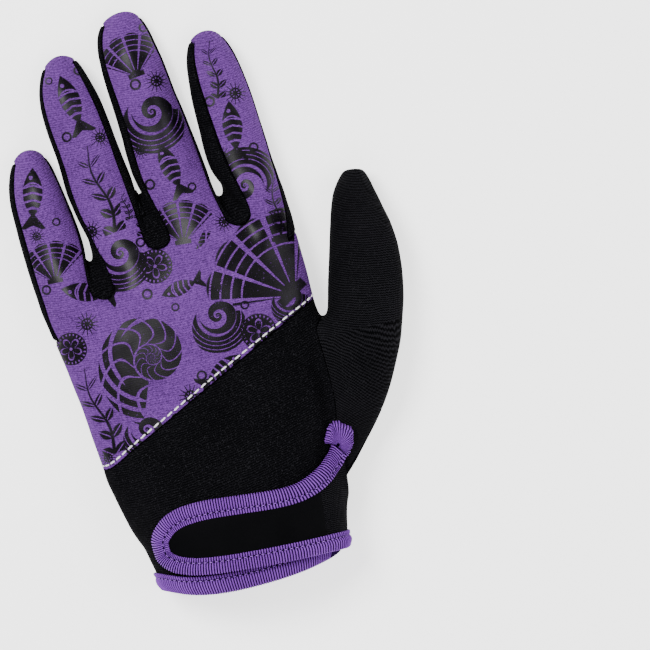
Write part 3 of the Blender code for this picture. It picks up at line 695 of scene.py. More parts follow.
def seam_drop(name, at, table):
    """The height of the panel's seams at each of the form's points near them."""
    a, b, kind, twin = table
    mine = PANELS.index(name)
    drop = np.zeros(len(at))
    used = np.unique(np.concatenate([a[kind == mine], b[kind == mine]]))
    for other in range(len(PANELS)):
        edge = (kind == mine) & (twin == other) & (twin != kind)
        if {name, PANELS[other]} == {"cuff_back", "palm_panel"}:
            edge &= ~(in_slit(at[a]) & in_slit(at[b]))
        if not edge.any():
            continue
        seam = seam_run(at, a[edge], b[edge])
        tree = KDTree(len(seam))
        for n, p in enumerate(seam.tolist()):
            tree.insert(p, n)
        tree.balance()
        found = [tree.find(p) for p in at[used].tolist()]
        far = np.array([f[2] for f in found])
        if name == "back_panel" and PANELS[other] == "cuff_back":
            on_back = at[used][:, 2] > 8
            run = at[used][:, 0] * SEAM_ALONG.x + at[used][:, 1] * SEAM_ALONG.y
            drop[used] += np.where(on_back, beaded(far, run), rolled(far, HEM_ROLL))
        else:
            pair = {name, PANELS[other]}
            radius = SEAM_ROLL
            if pair <= set(STRIPS):
                radius = TIP_ROLL
            elif pair == THUMB_SEAM:
                radius = THUMB_ROLL
            elif pair & set(STRIPS) and "palm_panel" in pair:
                radius = STRIP_ROLL
            drop[used] = np.minimum(drop[used], rolled(far, radius))
    return drop


tables = {level: edge_table(form[1], form[2]) for level, form in forms.items()}
print("edges at level 4:", len(tables[4][0]) // 2)


# %% [markdown]
# ## Panels as closed solids
# Each panel gets an outer face with its seams, an inner face one wall further in, and a rim that
# joins them. The rim keeps a hair's breadth off the seam line, so that no two panels touch.

# %% Panels
PANEL_FINISH = {"back_panel": "printed knit", "cuff_back": "black knit", "palm_panel": "suede"}
PANEL_FINISH["thumb_back"] = "thumb knit"


def rim_steps(at, quads):
    """For each point on a panel's rim, the unit direction that leads into the panel."""
    a, b = quads.ravel(), np.roll(quads, -1, axis=1).ravel()
    total = quads.max() + 1
    key = np.minimum(a, b) * total + np.maximum(a, b)
    _, first, count = np.unique(key, return_index=True, return_counts=True)
    rim = first[count == 1]
    centre = at[quads].mean(axis=1)[rim // 4]
    run = at[b[rim]] - at[a[rim]]
    step = centre - (at[a[rim]] + at[b[rim]]) / 2
    runs, steps = np.zeros_like(at), np.zeros_like(at)
    unit = run / np.linalg.norm(run, axis=1, keepdims=True)
    for ends in (a[rim], b[rim]):
        np.add.at(runs, ends, unit)
        np.add.at(steps, ends, step)
    points = np.unique(np.concatenate([a[rim], b[rim]]))
    runs, steps = runs[points], steps[points]
    length = np.linalg.norm(runs, axis=1, keepdims=True)
    runs = np.where(length > 0.2, runs / np.maximum(length, 1e-9), 0)
    steps -= runs * (runs * steps).sum(axis=1, keepdims=True)
    return points, steps / np.linalg.norm(steps, axis=1, keepdims=True), a[rim], b[rim]


def make_panel(name):
    level = FINE_LEVELS.get(name, 4)
    at, quads, kinds, normals = forms[level]
    quads = quads[kinds == PANELS.index(name)]
    drop = seam_drop(name, at, tables[level])
    points, steps, rim_a, rim_b = rim_steps(at, quads)
    base = at.copy()
    lip = in_slit(at[points]) & (name == "cuff_back")
    base[points] += steps * np.where(lip, SLIT_GAP, GAP / 2)[:, None]
    outer = base + normals * drop[:, None]
    inner = base - normals * WALL
    outer[:, 2] = np.maximum(outer[:, 2], 0.0)
    used, flat = np.unique(quads, return_inverse=True)
    faces = flat.reshape(-1, 4)
    count = len(used)
    order = np.full(len(at), -1)
    order[used] = np.arange(count)
    a, b = order[rim_a], order[rim_b]
    walls = np.stack([b, a, a + count, b + count], axis=1)
    everything = np.concatenate([faces, faces[:, ::-1] + count, walls])
    inside = np.concatenate([np.zeros(len(faces)), np.ones(len(faces)), np.zeros(len(walls))])
    finish = PANEL_FINISH.get(name, "black knit")
    solid = np.concatenate([outer[used], inner[used]])
    new_piece(
        name,
        solid,
        everything.tolist(),
        (finish, "lining"),
        node=name,
        kinds=inside.astype(int),
    )
    return outer, quads


outers = {name: make_panel(name) for name in PANELS}


# %% [markdown]
# ## Sweeping a tape
# The purple tape is a ribbed ribbon folded over each raw edge and sewn through. A sweep makes it:
# one cut across the folded tape is repeated every quarter of a millimetre along the edge. Of each
# four cuts one stands a little higher, which gives the ribs as real relief. The faces between the
# ribs and in the stitched valley carry painted shade.

# %% Cuts across the tape
RIB_PITCH, RIB_HIGH, RIB_CUTS = 0.98, 0.19, 4
TAPE_STITCH, TAPE_GROOVE, TAPE_PUFF = 4.7, 0.5, 0.5
FOLD_TURNS = 7


def folded_cut(low, high, near, width_low, width_high):
    """The folded tape cut across: distance beyond the edge, height, and how much it is ribbed."""
    half = min(1.25, (high - low) / 2 - 0.1)
    cut = []
    for e in np.concatenate([[-width_low], np.linspace(-width_low + 0.25, near - half, 7)]):
        cut.append((e, low + (0.15 if e <= -width_low else 0.0), 0.6 if e > -width_low else 0.0))
    for turn in np.linspace(-90, 90, FOLD_TURNS)[1:-1]:
        flat = math.sin(math.radians(turn)) * half
        middle = high - half if turn > 0 else low + half
        cut.append((near - half + half * math.cos(math.radians(turn)), middle + flat, 1.0))
    for e in np.linspace(near - half, -width_high + 0.3, 17):
        share = (near - half - e) / (near - half + TAPE_STITCH)
        puff = TAPE_PUFF * math.sin(math.pi * share) if share < 1 else 0.0
        groove = TAPE_GROOVE * math.exp(-(((e + TAPE_STITCH) / 0.35) ** 2))
        cut.append((e, high + puff - groove, 1.0))
    cut.append((-width_high, high - 0.2, 0.0))
    cut += [(-width_high + 0.05, high - TAPE, 0.0), (near - TAPE, high - TAPE, 0.0)]
    cut += [(near - TAPE, low + TAPE, 0.0), (-width_low + 0.05, low + TAPE, 0.0)]
    return np.array(cut)


def ribbed(cut, run):
    """The cut with its ribs raised or lowered for a distance run along the edge."""
    wave = RIB_HIGH * math.cos(2 * math.pi * run / RIB_PITCH)
    side = np.roll(cut[:, :2], -1, axis=0) - np.roll(cut[:, :2], 1, axis=0)
    out = np.stack([side[:, 1], -side[:, 0]], axis=1)
    out /= np.maximum(np.linalg.norm(out, axis=1, keepdims=True), 1e-9)
    return cut[:, :2] + out * (wave * cut[:, 2])[:, None]


def valley_of(cut):
    """Which faces of a tape's cut lie in the valley that its stitches pull in, where painted shade
    goes.
    """
    return (abs(cut[:, 0] + TAPE_STITCH - 0.15) < 0.34) & (cut[:, 1] > cut[:, 1].mean())


def swept(name, sections, finish, node, valley=False):
    """A closed solid through cuts with the same number of points, capped at both ends. On tape,
    the two cuts between ribs and the valley under the stitches get a near-black finish: painted
    shade."""
    sections = np.asarray(sections)
    steps, count = sections.shape[:2]
    finishes, kinds = (finish,), None
    if finish == "ribbed tape":
        finishes = (finish, "painted shade on tape")
        painted_shade_faces = (np.arange(steps - 1) % RIB_CUTS >= 1) & (np.arange(steps - 1) % RIB_CUTS <= 2)
        painted_shade_faces = painted_shade_faces[:, None] | np.broadcast_to(valley, (1, count))
        kinds = np.concatenate([[0], painted_shade_faces.ravel(), [0]]).astype(int)
    faces = [list(range(count))[::-1]]
    k, n = np.meshgrid(np.arange(steps - 1), np.arange(count), indexing="ij")
    after = (n + 1) % count
    quads = np.stack([k * count + n, k * count + after], axis=-1)
    quads = np.concatenate([quads, quads[..., ::-1] + count], axis=-1).reshape(-1, 4)
    faces += quads.tolist()
    faces.append([p + (steps - 1) * count for p in range(count)])
    points = sections.reshape(-1, 3)
    return new_piece(name, points, faces, finishes, node=node, kinds=kinds)


def resampled(points, pitch):
    """A flat or solid path at an even spacing, and the distance of each of its points."""
    points = np.asarray(points, dtype=float)
    far = np.concatenate([[0], np.cumsum(np.linalg.norm(np.diff(points, axis=0), axis=1))])
    runs = np.linspace(0, far[-1], max(2, int(round(far[-1] / pitch))) + 1)
    even = np.stack([np.interp(runs, far, points[:, n]) for n in range(points.shape[1])], axis=1)
    return even, runs


def curved(points, steps=12):
    """A smooth path through every one of the points given."""
    p = np.asarray(points, dtype=float)
    p = np.concatenate([[2 * p[0] - p[1]], p, [2 * p[-1] - p[-2]]])
    path = []
    for k in range(1, len(p) - 2):
        for t in np.arange(steps) / steps:
            a = 2 * p[k] + (p[k + 1] - p[k - 1]) * t
            b = (2 * p[k - 1] - 5 * p[k] + 4 * p[k + 1] - p[k + 2]) * t * t
            c = (3 * p[k] - p[k - 1] - 3 * p[k + 1] + p[k + 2]) * t**3
            path.append((a + b + c) / 2)
    path.append(p[-2])
    return np.array(path)


def smoothed(values, rounds):
    """Neighbours averaged along a path, with its ends held."""
    values = np.array(values, dtype=float)
    for _ in range(rounds):
        values[1:-1] = (values[:-2] + 2 * values[1:-1] + values[2:]) / 4
    return values


# %% [markdown]
# ## The wrist as a sheet
# The strap is cut flat and wrapped round the wrist. So the top of the wrist is measured as a
# sheet: rays from inside find the form, and a distance round the wrist, a place along the glove
# and a height together give one point in space.

# %% Measuring the wrist
SHEET_FINE = 1.0


class Wrist:
    def __init__(self, at, quads):
        tree = BVHTree.FromPolygons(at.tolist(), quads.tolist())
        self.ys = np.arange(SHEET_FROM_Y, SHEET_TO_Y, SHEET_FINE)
        self.ways = np.arange(-SHEET_REACH, SHEET_REACH + MM, SHEET_FINE)
        self.sheet = np.zeros((len(self.ys), len(self.ways), 3))
        for k, y in enumerate(self.ys):
            run = []
            for turn in np.arange(SHEET_TURNS[0], SHEET_TURNS[1], SHEET_TURNS[2] / 2):
                way = Vector((math.cos(math.radians(turn)), 0, math.sin(math.radians(turn))))
                hit = tree.ray_cast(Vector((WRIST_AXIS[0], y, WRIST_AXIS[1])), way)[0]
                if hit is not None:
                    run.append(hit)
            run = np.array(run)
            far = np.concatenate([[0], np.cumsum(np.linalg.norm(np.diff(run, axis=0), axis=1))])
            top = run[:, 2] > WRIST_AXIS[1]
            far -= np.interp(0.0, run[top, 0], far[top])
            for n in range(3):
                self.sheet[k, :, n] = np.interp(self.ways, far, run[:, n])
        out = np.cross(np.gradient(self.sheet, axis=1), np.gradient(self.sheet, axis=0))
        self.out = out / np.linalg.norm(out, axis=2, keepdims=True)

    def place(self, flat, lift):
        """Points over the wrist from pairs (distance round, y) and their heights."""
        flat = np.asarray(flat, dtype=float)
        r = np.clip((flat[..., 1] - self.ys[0]) / SHEET_FINE, 0, len(self.ys) - 1.001)
        c = np.clip((flat[..., 0] - self.ways[0]) / SHEET_FINE, 0, len(self.ways) - 1.001)
        i, j = r.astype(int), c.astype(int)
        u, v = (r - i)[..., None], (c - j)[..., None]

        def mixed(grid):
            low = grid[i, j] * (1 - v) + grid[i, j + 1] * v
            high = grid[i + 1, j] * (1 - v) + grid[i + 1, j + 1] * v
            return low * (1 - u) + high * u

        put = mixed(self.sheet) + mixed(self.out) * np.asarray(lift)[..., None]
        put[..., 1] += np.minimum(flat[..., 1] - self.ys[0], 0.0)
        return put


smooth_at, smooth_quads, _ = rounded(held, cage.faces, cage.panels, 3)
wrist = Wrist(smooth_at, smooth_quads)
print("wrist sheet", wrist.sheet.shape[:2])


# %% [markdown]
# ## The closing strap
# The strap is a flat tongue: a core of smooth black cloth that carries a bare label patch, with
# the ribbed tape folded over its edge. Its outline is a smooth curve through the measured stops.

# %% The strap's outline
def flat_left(path):
    """The unit direction to the left of a flat path at each point."""
    ahead = np.gradient(path, axis=0)
    left = np.stack([-ahead[:, 1], ahead[:, 0]], axis=1)
    return left / np.linalg.norm(left, axis=1, keepdims=True)


OUTLINE_STEPS = 12
low_edge = [(stop.along, stop.low) for stop in STRAP]
high_edge = [(stop.along, stop.high) for stop in STRAP]
outline = curved(low_edge[::-1] + high_edge, OUTLINE_STEPS)
outline_left = smoothed(flat_left(outline), 4)
outline_left /= np.linalg.norm(outline_left, axis=1, keepdims=True)
print("strap outline:", len(outline), "points")

# %% The strap's core
CORE_EDGE = 0.35  # rounding of the core's rim
LABEL_TO = 28.5  # the smooth patch ends here, and the knit goes on
LABEL_HIGH = 0.18

core_line = outline - outline_left * (TAPE + GAP)
half_count = len(core_line) // 2
rows = 24
sections = []
base = STRAP_LIFT + TAPE + GAP
for k in range(half_count - 1):
    a, b = core_line[k], core_line[-1 - k]
    line = a + (b - a) * np.linspace(0, 1, rows + 1)[:, None]
    edge = np.minimum(np.linalg.norm(line - a, axis=1), np.linalg.norm(line - b, axis=1))
    sag = CORE_EDGE * np.exp(-edge / 0.6)
    crown = 0.35 * np.clip(edge / 9.0, 0, 1) ** 0.7
    under = wrist.place(line, base + 0 * edge)
    over = wrist.place(line[::-1], (base + STRAP_THICK - sag + crown)[::-1])
    sections.append(np.concatenate([under, over]))
strap = swept("strap", sections, "thumb knit", "strap")

# %% The bare label patch on the strap
PATCH_EDGE = 5.9  # the patch slips under the tape's selvedge
inner_line = outline - outline_left * PATCH_EDGE
sections = []
for k in range(half_count - 1):
    a, b = inner_line[k], inner_line[-1 - k]
    if max(a[0], b[0]) > LABEL_TO or a[1] > b[1] - 0.5:
        continue
    line = a + (b - a) * np.linspace(0, 1, rows + 1)[:, None]
    edge = np.minimum(np.linalg.norm(line - a, axis=1), np.linalg.norm(line - b, axis=1))
    end = np.clip((LABEL_TO - line[:, 0]) / 0.5, 0, 1)
    crown = 0.35 * np.clip((edge + PATCH_EDGE - TAPE - GAP) / 9.0, 0, 1) ** 0.7
    rise = base + STRAP_THICK + crown + LABEL_HIGH * np.sqrt(end)
    under = wrist.place(line, rise - 0.4)
    over = wrist.place(line[::-1], rise[::-1])
    sections.append(np.concatenate([under, over]))
swept("label_patch", sections, "label cloth", None)

# %% The strap's tape
bound = curved(low_edge[::-1] + high_edge[:BOUND_STOPS], OUTLINE_STEPS)
bound, runs = resampled(bound, RIB_PITCH / RIB_CUTS)
bound_left = smoothed(flat_left(bound), 30)
bound_left /= np.linalg.norm(bound_left, axis=1, keepdims=True)
top = STRAP_LIFT + STRAP_THICK + 2 * (TAPE + GAP)
cut = folded_cut(STRAP_LIFT, top, 0.0, TAPE_WIDTH, TAPE_WIDTH)
sections = []
for p, left, run in zip(bound, bound_left, runs):
    shape = ribbed(cut, run)
    sections.append(wrist.place(p + left * shape[:, :1], shape[:, 1]))
swept("strap_binding", sections, "ribbed tape", "strap_binding", valley_of(cut))
strap_stitches = wrist.place(bound - bound_left * TAPE_STITCH, np.full(len(bound), top - 0.12))
strap_ups = wrist.place(bound - bound_left * TAPE_STITCH, np.full(len(bound), top + 0.88))
strap_ups -= strap_stitches


# %% [markdown]
# ## Tape on the cuff's lip and on the hem
# These two follow the form itself. At each step the nearest point of the smooth form and its
# normal place the folded tape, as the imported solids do.

# %% Laying tape on an edge of the form
class Surface:
    def __init__(self, at, quads):
        self.at, self.quads = at, quads
        self.normals = normals_of(at, quads)
        self.tree = BVHTree.FromPolygons(at.tolist(), quads.tolist())

    def nearest(self, place):
        foot, _, face, _ = self.tree.find_nearest(Vector(place))
        corners = self.quads[face]
        weights = 1 / (0.01 + ((self.at[corners] - np.array(foot)) ** 2).sum(axis=1))
        out = (self.normals[corners] * weights[:, None]).sum(axis=0)
        return np.array(foot), out / np.linalg.norm(out)


surface = Surface(smooth_at, smooth_quads)


def laid_tape(name, path, into, edge_back, widths, node, run_from=0.0):
    """A tape folded over a cloth's edge, and the line and lift of its stitches."""
    near = GAP + TAPE - edge_back
    cut = folded_cut(-WALL - GAP - TAPE, GAP + TAPE, near, *widths)
    sections, line, ups = [], [], []
    runs = np.concatenate([[0], np.cumsum(np.linalg.norm(np.diff(path, axis=0), axis=1))])
    for at, way, run in zip(path, into, runs + run_from):
        shape = ribbed(cut, run)
        section = []
        reads = {}
        for beyond, high in shape:
            on_cloth = min(beyond, -EDGE_INSET)
            key = round(on_cloth, 2)
            if key not in reads:
                reads[key] = surface.nearest(at - way * on_cloth)
            foot, out = reads[key]
            section.append(foot - way * (beyond - on_cloth) + out * high)
        sections.append(section)
        foot, out = surface.nearest(at + way * TAPE_STITCH)
        line.append(foot + out * (GAP + TAPE - 0.12))
        ups.append(out)
    swept(name, sections, "ribbed tape", node, valley_of(cut))
    return np.array(line), np.array(ups)


def form_edges(keep):
    """Directed edges of the smooth form's quads that leave a kept point for another point."""
    a = smooth_quads.ravel()
    b = np.roll(smooth_quads, -1, axis=1).ravel()
    pairs = np.concatenate([np.stack([a, b], 1), np.stack([b, a], 1)])
    return pairs[keep[pairs[:, 0]] & ~keep[pairs[:, 1]]]


# %% The tape on the slit's lip
smooth_kinds = forms[3][2]
both = np.zeros(len(smooth_at), dtype=bool)
cuff_points = np.unique(smooth_quads[smooth_kinds == PANELS.index("cuff_back")])
palm_points = np.unique(smooth_quads[smooth_kinds == PANELS.index("palm_panel")])
both[np.intersect1d(cuff_points, palm_points)] = True
both &= in_slit(smooth_at)
into = np.zeros_like(smooth_at)
for p, q in form_edges(both):
    if smooth_at[q][0] < smooth_at[p][0]:
        step = smooth_at[q] - smooth_at[p]
        into[p] = step / np.linalg.norm(step)
line = sorted(np.flatnonzero(both), key=lambda p: smooth_at[p][1])
path, runs = resampled(np.concatenate([smooth_at[line], into[line]], axis=1), RIB_PITCH / RIB_CUTS)
keep = (path[:, 1] >= SLIT_FROM_Y) & (path[:, 1] <= SLIT_TO_Y)
path = smoothed(path[keep], 20)[::-1]
ways = path[:, 3:] / np.linalg.norm(path[:, 3:], axis=1, keepdims=True)
slit_line, slit_ups = laid_tape(
    "slit_binding", path[:, :3], ways, SLIT_GAP, (SLIT_REACH, SLIT_REACH), "slit_binding"
)


# %% The tape on the hem
def rim_walk(quads):
    """The points round the open mouth of the form, in order."""
    a = quads.ravel()
    b = np.roll(quads, -1, axis=1).ravel()
    total = quads.max() + 1
    key = np.minimum(a, b) * total + np.maximum(a, b)
    _, first, count = np.unique(key, return_index=True, return_counts=True)
    rim = first[count == 1]
    follow = {int(b[e]): int(a[e]) for e in rim}
    walk = [min(follow)]
    while follow[walk[-1]] != walk[0]:
        walk.append(follow[walk[-1]])
    return walk


walk = rim_walk(smooth_quads)
rim = np.zeros(len(smooth_at), dtype=bool)
rim[walk] = True
for p, q in form_edges(rim):
    step = smooth_at[q] - smooth_at[p]
    into[p] = step / np.linalg.norm(step)
start = max(walk, key=lambda p: smooth_at[p][0] + smooth_at[p][2])
turn = walk.index(start)
walk = walk[turn:] + walk[:turn]
if smooth_at[walk[1]][2] < smooth_at[walk[-1]][2]:
    walk = walk[:1] + walk[:0:-1]
walk.append(walk[0])
path, runs = resampled(np.concatenate([smooth_at[walk], into[walk]], axis=1), RIB_PITCH / RIB_CUTS)
path = smoothed(path[4:], 20)
ways = path[:, 3:] / np.linalg.norm(path[:, 3:], axis=1, keepdims=True)
hem_line, hem_ups = laid_tape(
    "hem_binding", path[:, :3], ways, 0.0, (HEM_RETURN, TAPE_WIDTH), "hem_binding"
)

# %% [markdown]
# ## The loop at the top of the slit
# Where the slit ends, the tape turns back on itself and stands up in a small ribbed hood. It is a
# sweep round its own mouth, with its ribs spread like a fan and a groove inside its rim.

# %% The puckered hood
HOOD_CUTS = 112
HOOD_WRAP = (16, 22)  # its two feet go on past the mouth, round the band's end
HOOD_RIM, HOOD_GROOVE = 0.80, 0.55  # where the rim's groove runs, and how deep it is
HOOD_FOOT = 12  # the cuts over which each foot is rounded off
first, last = LOOP_TURNS[0] + HOOD_WRAP[0], LOOP_TURNS[1] - HOOD_WRAP[1]
profile = curved(LOOP_PROFILE + LOOP_PROFILE[:1], 7)[:-1]
middle = profile.mean(axis=0)
sections = []
for k in range(HOOD_CUTS + 1):
    turn = math.radians(first + (last - first) * k / HOOD_CUTS)
    way = np.array((math.cos(turn), math.sin(turn)))
    aside = turn - math.radians(LOOP_WAY)
    ahead, beside = abs(math.cos(aside)) / LOOP_LONG, abs(math.sin(aside)) / LOOP_HALF
    reach = (ahead**LOOP_SQUARE + beside**LOOP_SQUARE) ** (-1 / LOOP_SQUARE)
    reach *= 1 + 0.03 * math.sin(k * 0.31) + 0.02 * math.sin(k * 0.83)
    foot = math.sqrt(min(k, HOOD_CUTS - k, HOOD_FOOT) / HOOD_FOOT)
    reach *= 0.88 + 0.12 * foot
    shape = profile * (1, 0.45 + 0.55 * foot)
    top = shape[:, 1] > 1.2
    groove = np.exp(-(((shape[:, 0] - HOOD_RIM) * reach / 0.45) ** 2))
    shape[:, 1] -= top * HOOD_GROOVE * groove
    out = (profile - middle) * (reach, 1)
    out /= np.linalg.norm(out, axis=1, keepdims=True)
    rib = 0.16 * math.cos(2 * math.pi * k / RIB_CUTS) * np.clip(shape[:, 0] * 1.6, 0.2, 1)
    shape = shape * (reach, 1) + out * (rib * (shape[:, 1] > 0.3))[:, None]
    flat = np.array(LOOP_AT) + way * shape[:, :1]
    sections.append(wrist.place(flat, LOOP_LIFT + np.maximum(shape[:, 1], 0)))
swept("slit_loop", sections, "ribbed tape", "slit_loop")


# %% [markdown]
# ## Stitches
# A stitch is a short length of thread that dips into the cloth at both ends. One small capsule,
# bent a little, is repeated along the line of a seam.

# %% A row of stitches
THREAD_SIDES = 8


def stitch_row(name, line, ups, pitch, length, radius, finish, slot, sink=0.25):
    """Capsules along a line, each one bowed up in the middle."""
    line = np.asarray(line)
    far = np.concatenate([[0], np.cumsum(np.linalg.norm(np.diff(line, axis=0), axis=1))])
    both = np.concatenate([line, ups], axis=1)
    count = int(far[-1] // pitch)
    points, faces = [], []
    steps = np.linspace(-1, 1, 9)
    for k in range(count):
        middle = (k + 0.5) * far[-1] / count
        rings = middle + steps * length / 2
        spine = np.stack([np.interp(rings, far, both[:, n]) for n in range(6)], axis=1)
        way = spine[-1, :3] - spine[0, :3]
        way /= np.linalg.norm(way)
        for t, s in zip(steps, spine):
            up = s[3:] / np.linalg.norm(s[3:])
            side = np.cross(way, up)
            side /= np.linalg.norm(side)
            size = radius * math.sqrt(max(1 - abs(t) ** 5, 0.02))
            at = s[:3] + up * (radius * 0.4 - sink * t * t)
            for n in range(THREAD_SIDES):
                turn = 2 * math.pi * n / THREAD_SIDES
                points.append(at + (side * math.cos(turn) + up * math.sin(turn) * 0.8) * size)
        first = len(points) - THREAD_SIDES * len(steps)
        faces.append([first + n for n in range(THREAD_SIDES)])
        for r in range(len(steps) - 1):
            for n in range(THREAD_SIDES):
                m = (n + 1) % THREAD_SIDES
                a, b = first + r * THREAD_SIDES, first + (r + 1) * THREAD_SIDES
                faces.append([a + m, a + n, b + n, b + m])
        faces.append([first + (len(steps) - 1) * THREAD_SIDES + n for n in range(THREAD_SIDES)][::-1])
    return new_piece(name, np.array(points), faces, (finish,), sharp=80)


thread = (2.2, 1.3, 0.19, "purple thread", "binding_tape")
stitch_row("strap_stitches", strap_stitches, strap_ups, *thread)
stitch_row("hem_stitches", hem_line, hem_ups, *thread)

# %% The white topstitch on the diagonal seam
back_at, back_quads = outers["back_panel"]
a, b, kind, twin = tables[4]
seam = (kind == PANELS.index("back_panel")) & (twin == PANELS.index("cuff_back"))
ends = np.unique(np.concatenate([a[seam], b[seam]]))
ends = ends[forms[4][0][ends][:, 2] > 6.0]
ends = ends[np.argsort(forms[4][0][ends][:, 0])]
path, _ = resampled(smoothed(forms[4][0][ends], 6), 0.5)
ahead = np.gradient(path, axis=0)
ahead /= np.linalg.norm(ahead, axis=1, keepdims=True)
back_surface = Surface(back_at, back_quads)
line, ups = [], []
for p, way in zip(path, ahead):
    _, out = back_surface.nearest(p)
    left = np.cross(out, way)
    foot, out = back_surface.nearest(p + left * BEAD_WIDE)
    line.append(foot)
    ups.append(out)
stitch_row(
    "seam_stitches", line, smoothed(ups, 8), STITCH_PITCH, 2.7, 0.34, "white thread", "printed_fabric"
)


# %% [markdown]
# ## Shader maths as Python
# A material is a sum of waves, noises and masks. Written node by node that is hard to read, so
# one small class wraps a socket: an expression such as 1 - mask * 0.3 adds the Math nodes by
# itself. Colours go through Mix nodes, because a Math node would turn them grey.

# %% A socket that takes part in sums
class Wire:
    """An output socket of a material, which Python's operators work on."""

    def __init__(self, socket):
        self.socket = socket

    def node(self, kind, settings=None, sockets=None, out=0):
        """Any other node: its type, its settings, and the values or links of its sockets."""
        tree = self.socket.id_data
        made = tree.nodes.new(kind)
        for name, value in (settings or {}).items():
            if name == "stops":
                ramp = made.color_ramp.elements
                while len(ramp) < len(value):
                    ramp.new(0.5)
                for element, (at, grey) in zip(ramp, value):
                    element.position = at
                    element.color = (grey, grey, grey, 1.0)
            else:
                setattr(made, name, value)
        items = sockets.items() if isinstance(sockets, dict) else enumerate(sockets or ())
        for name, value in items:
            if isinstance(value, Wire):
                tree.links.new(value.socket, made.inputs[name])
            else:
                made.inputs[name].default_value = value
        return Wire(made.outputs[out])

    def math(self, operation, *values):
        return self.node("ShaderNodeMath", {"operation": operation}, (self, *values))

    def __add__(self, other):
        return self.math("ADD", other)

    def __sub__(self, other):
        return self.math("SUBTRACT", other)

    def __rsub__(self, other):
        return self.node("ShaderNodeMath", {"operation": "SUBTRACT"}, (other, self))

    def __mul__(self, other):
        return self.math("MULTIPLY", other)

    def __truediv__(self, other):
        return self.math("DIVIDE", other)

    def __pow__(self, other):
        return self.math("POWER", other)

    def __lt__(self, other):
        return self.math("LESS_THAN", other)

    def __gt__(self, other):
        return self.math("GREATER_THAN", other)

    def __abs__(self):
        return self.math("ABSOLUTE")

    def __neg__(self):
        return self * -1.0

    __radd__, __rmul__ = __add__, __mul__

    def sin(self):
        return self.math("SINE")

    def fract(self):
        return self.math("FRACT")

    def least(self, other):
        return self.math("MINIMUM", other)

    def most(self, other):
        return self.math("MAXIMUM", other)

    def clamped(self):
        return self.node("ShaderNodeClamp", None, {"Value": self})

    def mixed(self, low, high):
        """A colour between two, by this mask."""
        settings = {"data_type": "RGBA", "clamp_factor": True}
        return self.node("ShaderNodeMix", settings, {0: self, 6: low, 7: high}, out=2)

    def swapped(self, low, high):
        """A number between two, by this mask."""
        return low + self * (high - low)


# %% A material's coordinates in millimetres
def starting(name):
    """A material's shader and its three coordinates in millimetres."""
    material = finish_named(name)
    tree = material.node_tree
    shader = tree.nodes["Principled BSDF"]
    place = Wire(tree.nodes.new("ShaderNodeTexCoord").outputs["Object"])
    place = place.node("ShaderNodeVectorMath", {"operation": "SCALE"}, {0: place, "Scale": 1 / MM})
    parts = [place.node("ShaderNodeSeparateXYZ", None, (place,), out=n) for n in range(3)]
    return shader, place, parts


def noise_at(place, size, detail=2.0, rough=0.5):
    """Noise from 0 to 1 with features of a size in millimetres."""
    sockets = {"Vector": place, "Scale": 1 / size, "Detail": detail, "Roughness": rough}
    return place.node("ShaderNodeTexNoise", None, sockets)


def fed(shader, colour, roughness, height, strength=1.0):
    """Links a colour, a roughness and a height in millimetres to a material."""
    tree = shader.id_data
    bump = height.node(
        "ShaderNodeBump", None, {"Strength": strength, "Distance": MM, "Height": height}
    )
    tree.links.new(bump.socket, shader.inputs["Normal"])
    tree.links.new(colour.socket, shader.inputs["Base Color"])
    tree.links.new(roughness.socket, shader.inputs["Roughness"])


# %% [markdown]
# ## Stretch knit
# Under a lens this cloth is rows of small V-shaped stitches. A wave gives the rows, and a second
# one pushes each row up and down to make the Vs. Noise bends the rows a little, as a worn glove's
# cloth is bent, and a few bright fibres catch the light. In the colour the rows are paler on top
# and darker between them, which is painted shade.

# %% The knit's height
COURSE, WALE = 0.86, 0.74  # pitch of the rows and of the stitches along a row


def knit_height(place, x, y, z, turn, sweep=0.0):
    """The knit's height, from 0 to 1, with its rows turned from the X axis. A sweep turns them
    further towards the wrist, as where the thumb's cloth is pulled round its root."""
    c, s = math.cos(math.radians(turn)), math.sin(math.radians(turn))
    bend = (noise_at(place, 9.0) - 0.5) * 1.6
    across = x * s + y * c + z * 0.25 + bend
    if sweep:
        across = across + (x - 30.0) * ((10.0 - y) / 35.0).clamped() * sweep
    beside = x * c - y * s + z * 0.5
    vee = abs((beside / WALE).fract() - 0.5) * 0.7
    row = ((across / COURSE + vee) * (2 * math.pi)).sin() * 0.5 + 0.5
    stitch = ((beside / WALE) * (4 * math.pi)).sin() * 0.5 + 0.5
    return row * (stitch * 0.35 + 0.65)


# %% Black knit
def black_knit(name, turn, pale=1.0, sweep=0.0, rows=0.55):
    """Black knit whose rows show more or less, through painted shade between them."""
    shader, place, (x, y, z) = starting(name)
    height = knit_height(place, x, y, z, turn, sweep)
    fleck = ((noise_at(place, 0.42, 1.0) - 0.60) * 9.0).clamped()
    cloudy = noise_at(place, 22.0)
    # Painted shade: the rows' tops paler and the gaps between them darker, scaled by rows. The flecks
    # add pale specks at random.
    light = height * height * (cloudy + 0.2) * rows + fleck * 0.9
    dark = [n * pale for n in (0.0007, 0.0007, 0.0010)]
    grey = [n * pale for n in (0.0155, 0.0150, 0.0180)]
    colour = light.clamped().mixed((*dark, 1), (*grey, 1))
    roughness = 0.93 - height * 0.12
    shader.inputs["Specular IOR Level"].default_value = 0.015
    fed(shader, colour, roughness, height * 0.16 + noise_at(place, 0.5) * 0.05)


black_knit("black knit", -8)
black_knit("thumb knit", 15, 0.75, 0.6, 1.6)
black_knit("lining", 90, 1.3)
print("knits done")

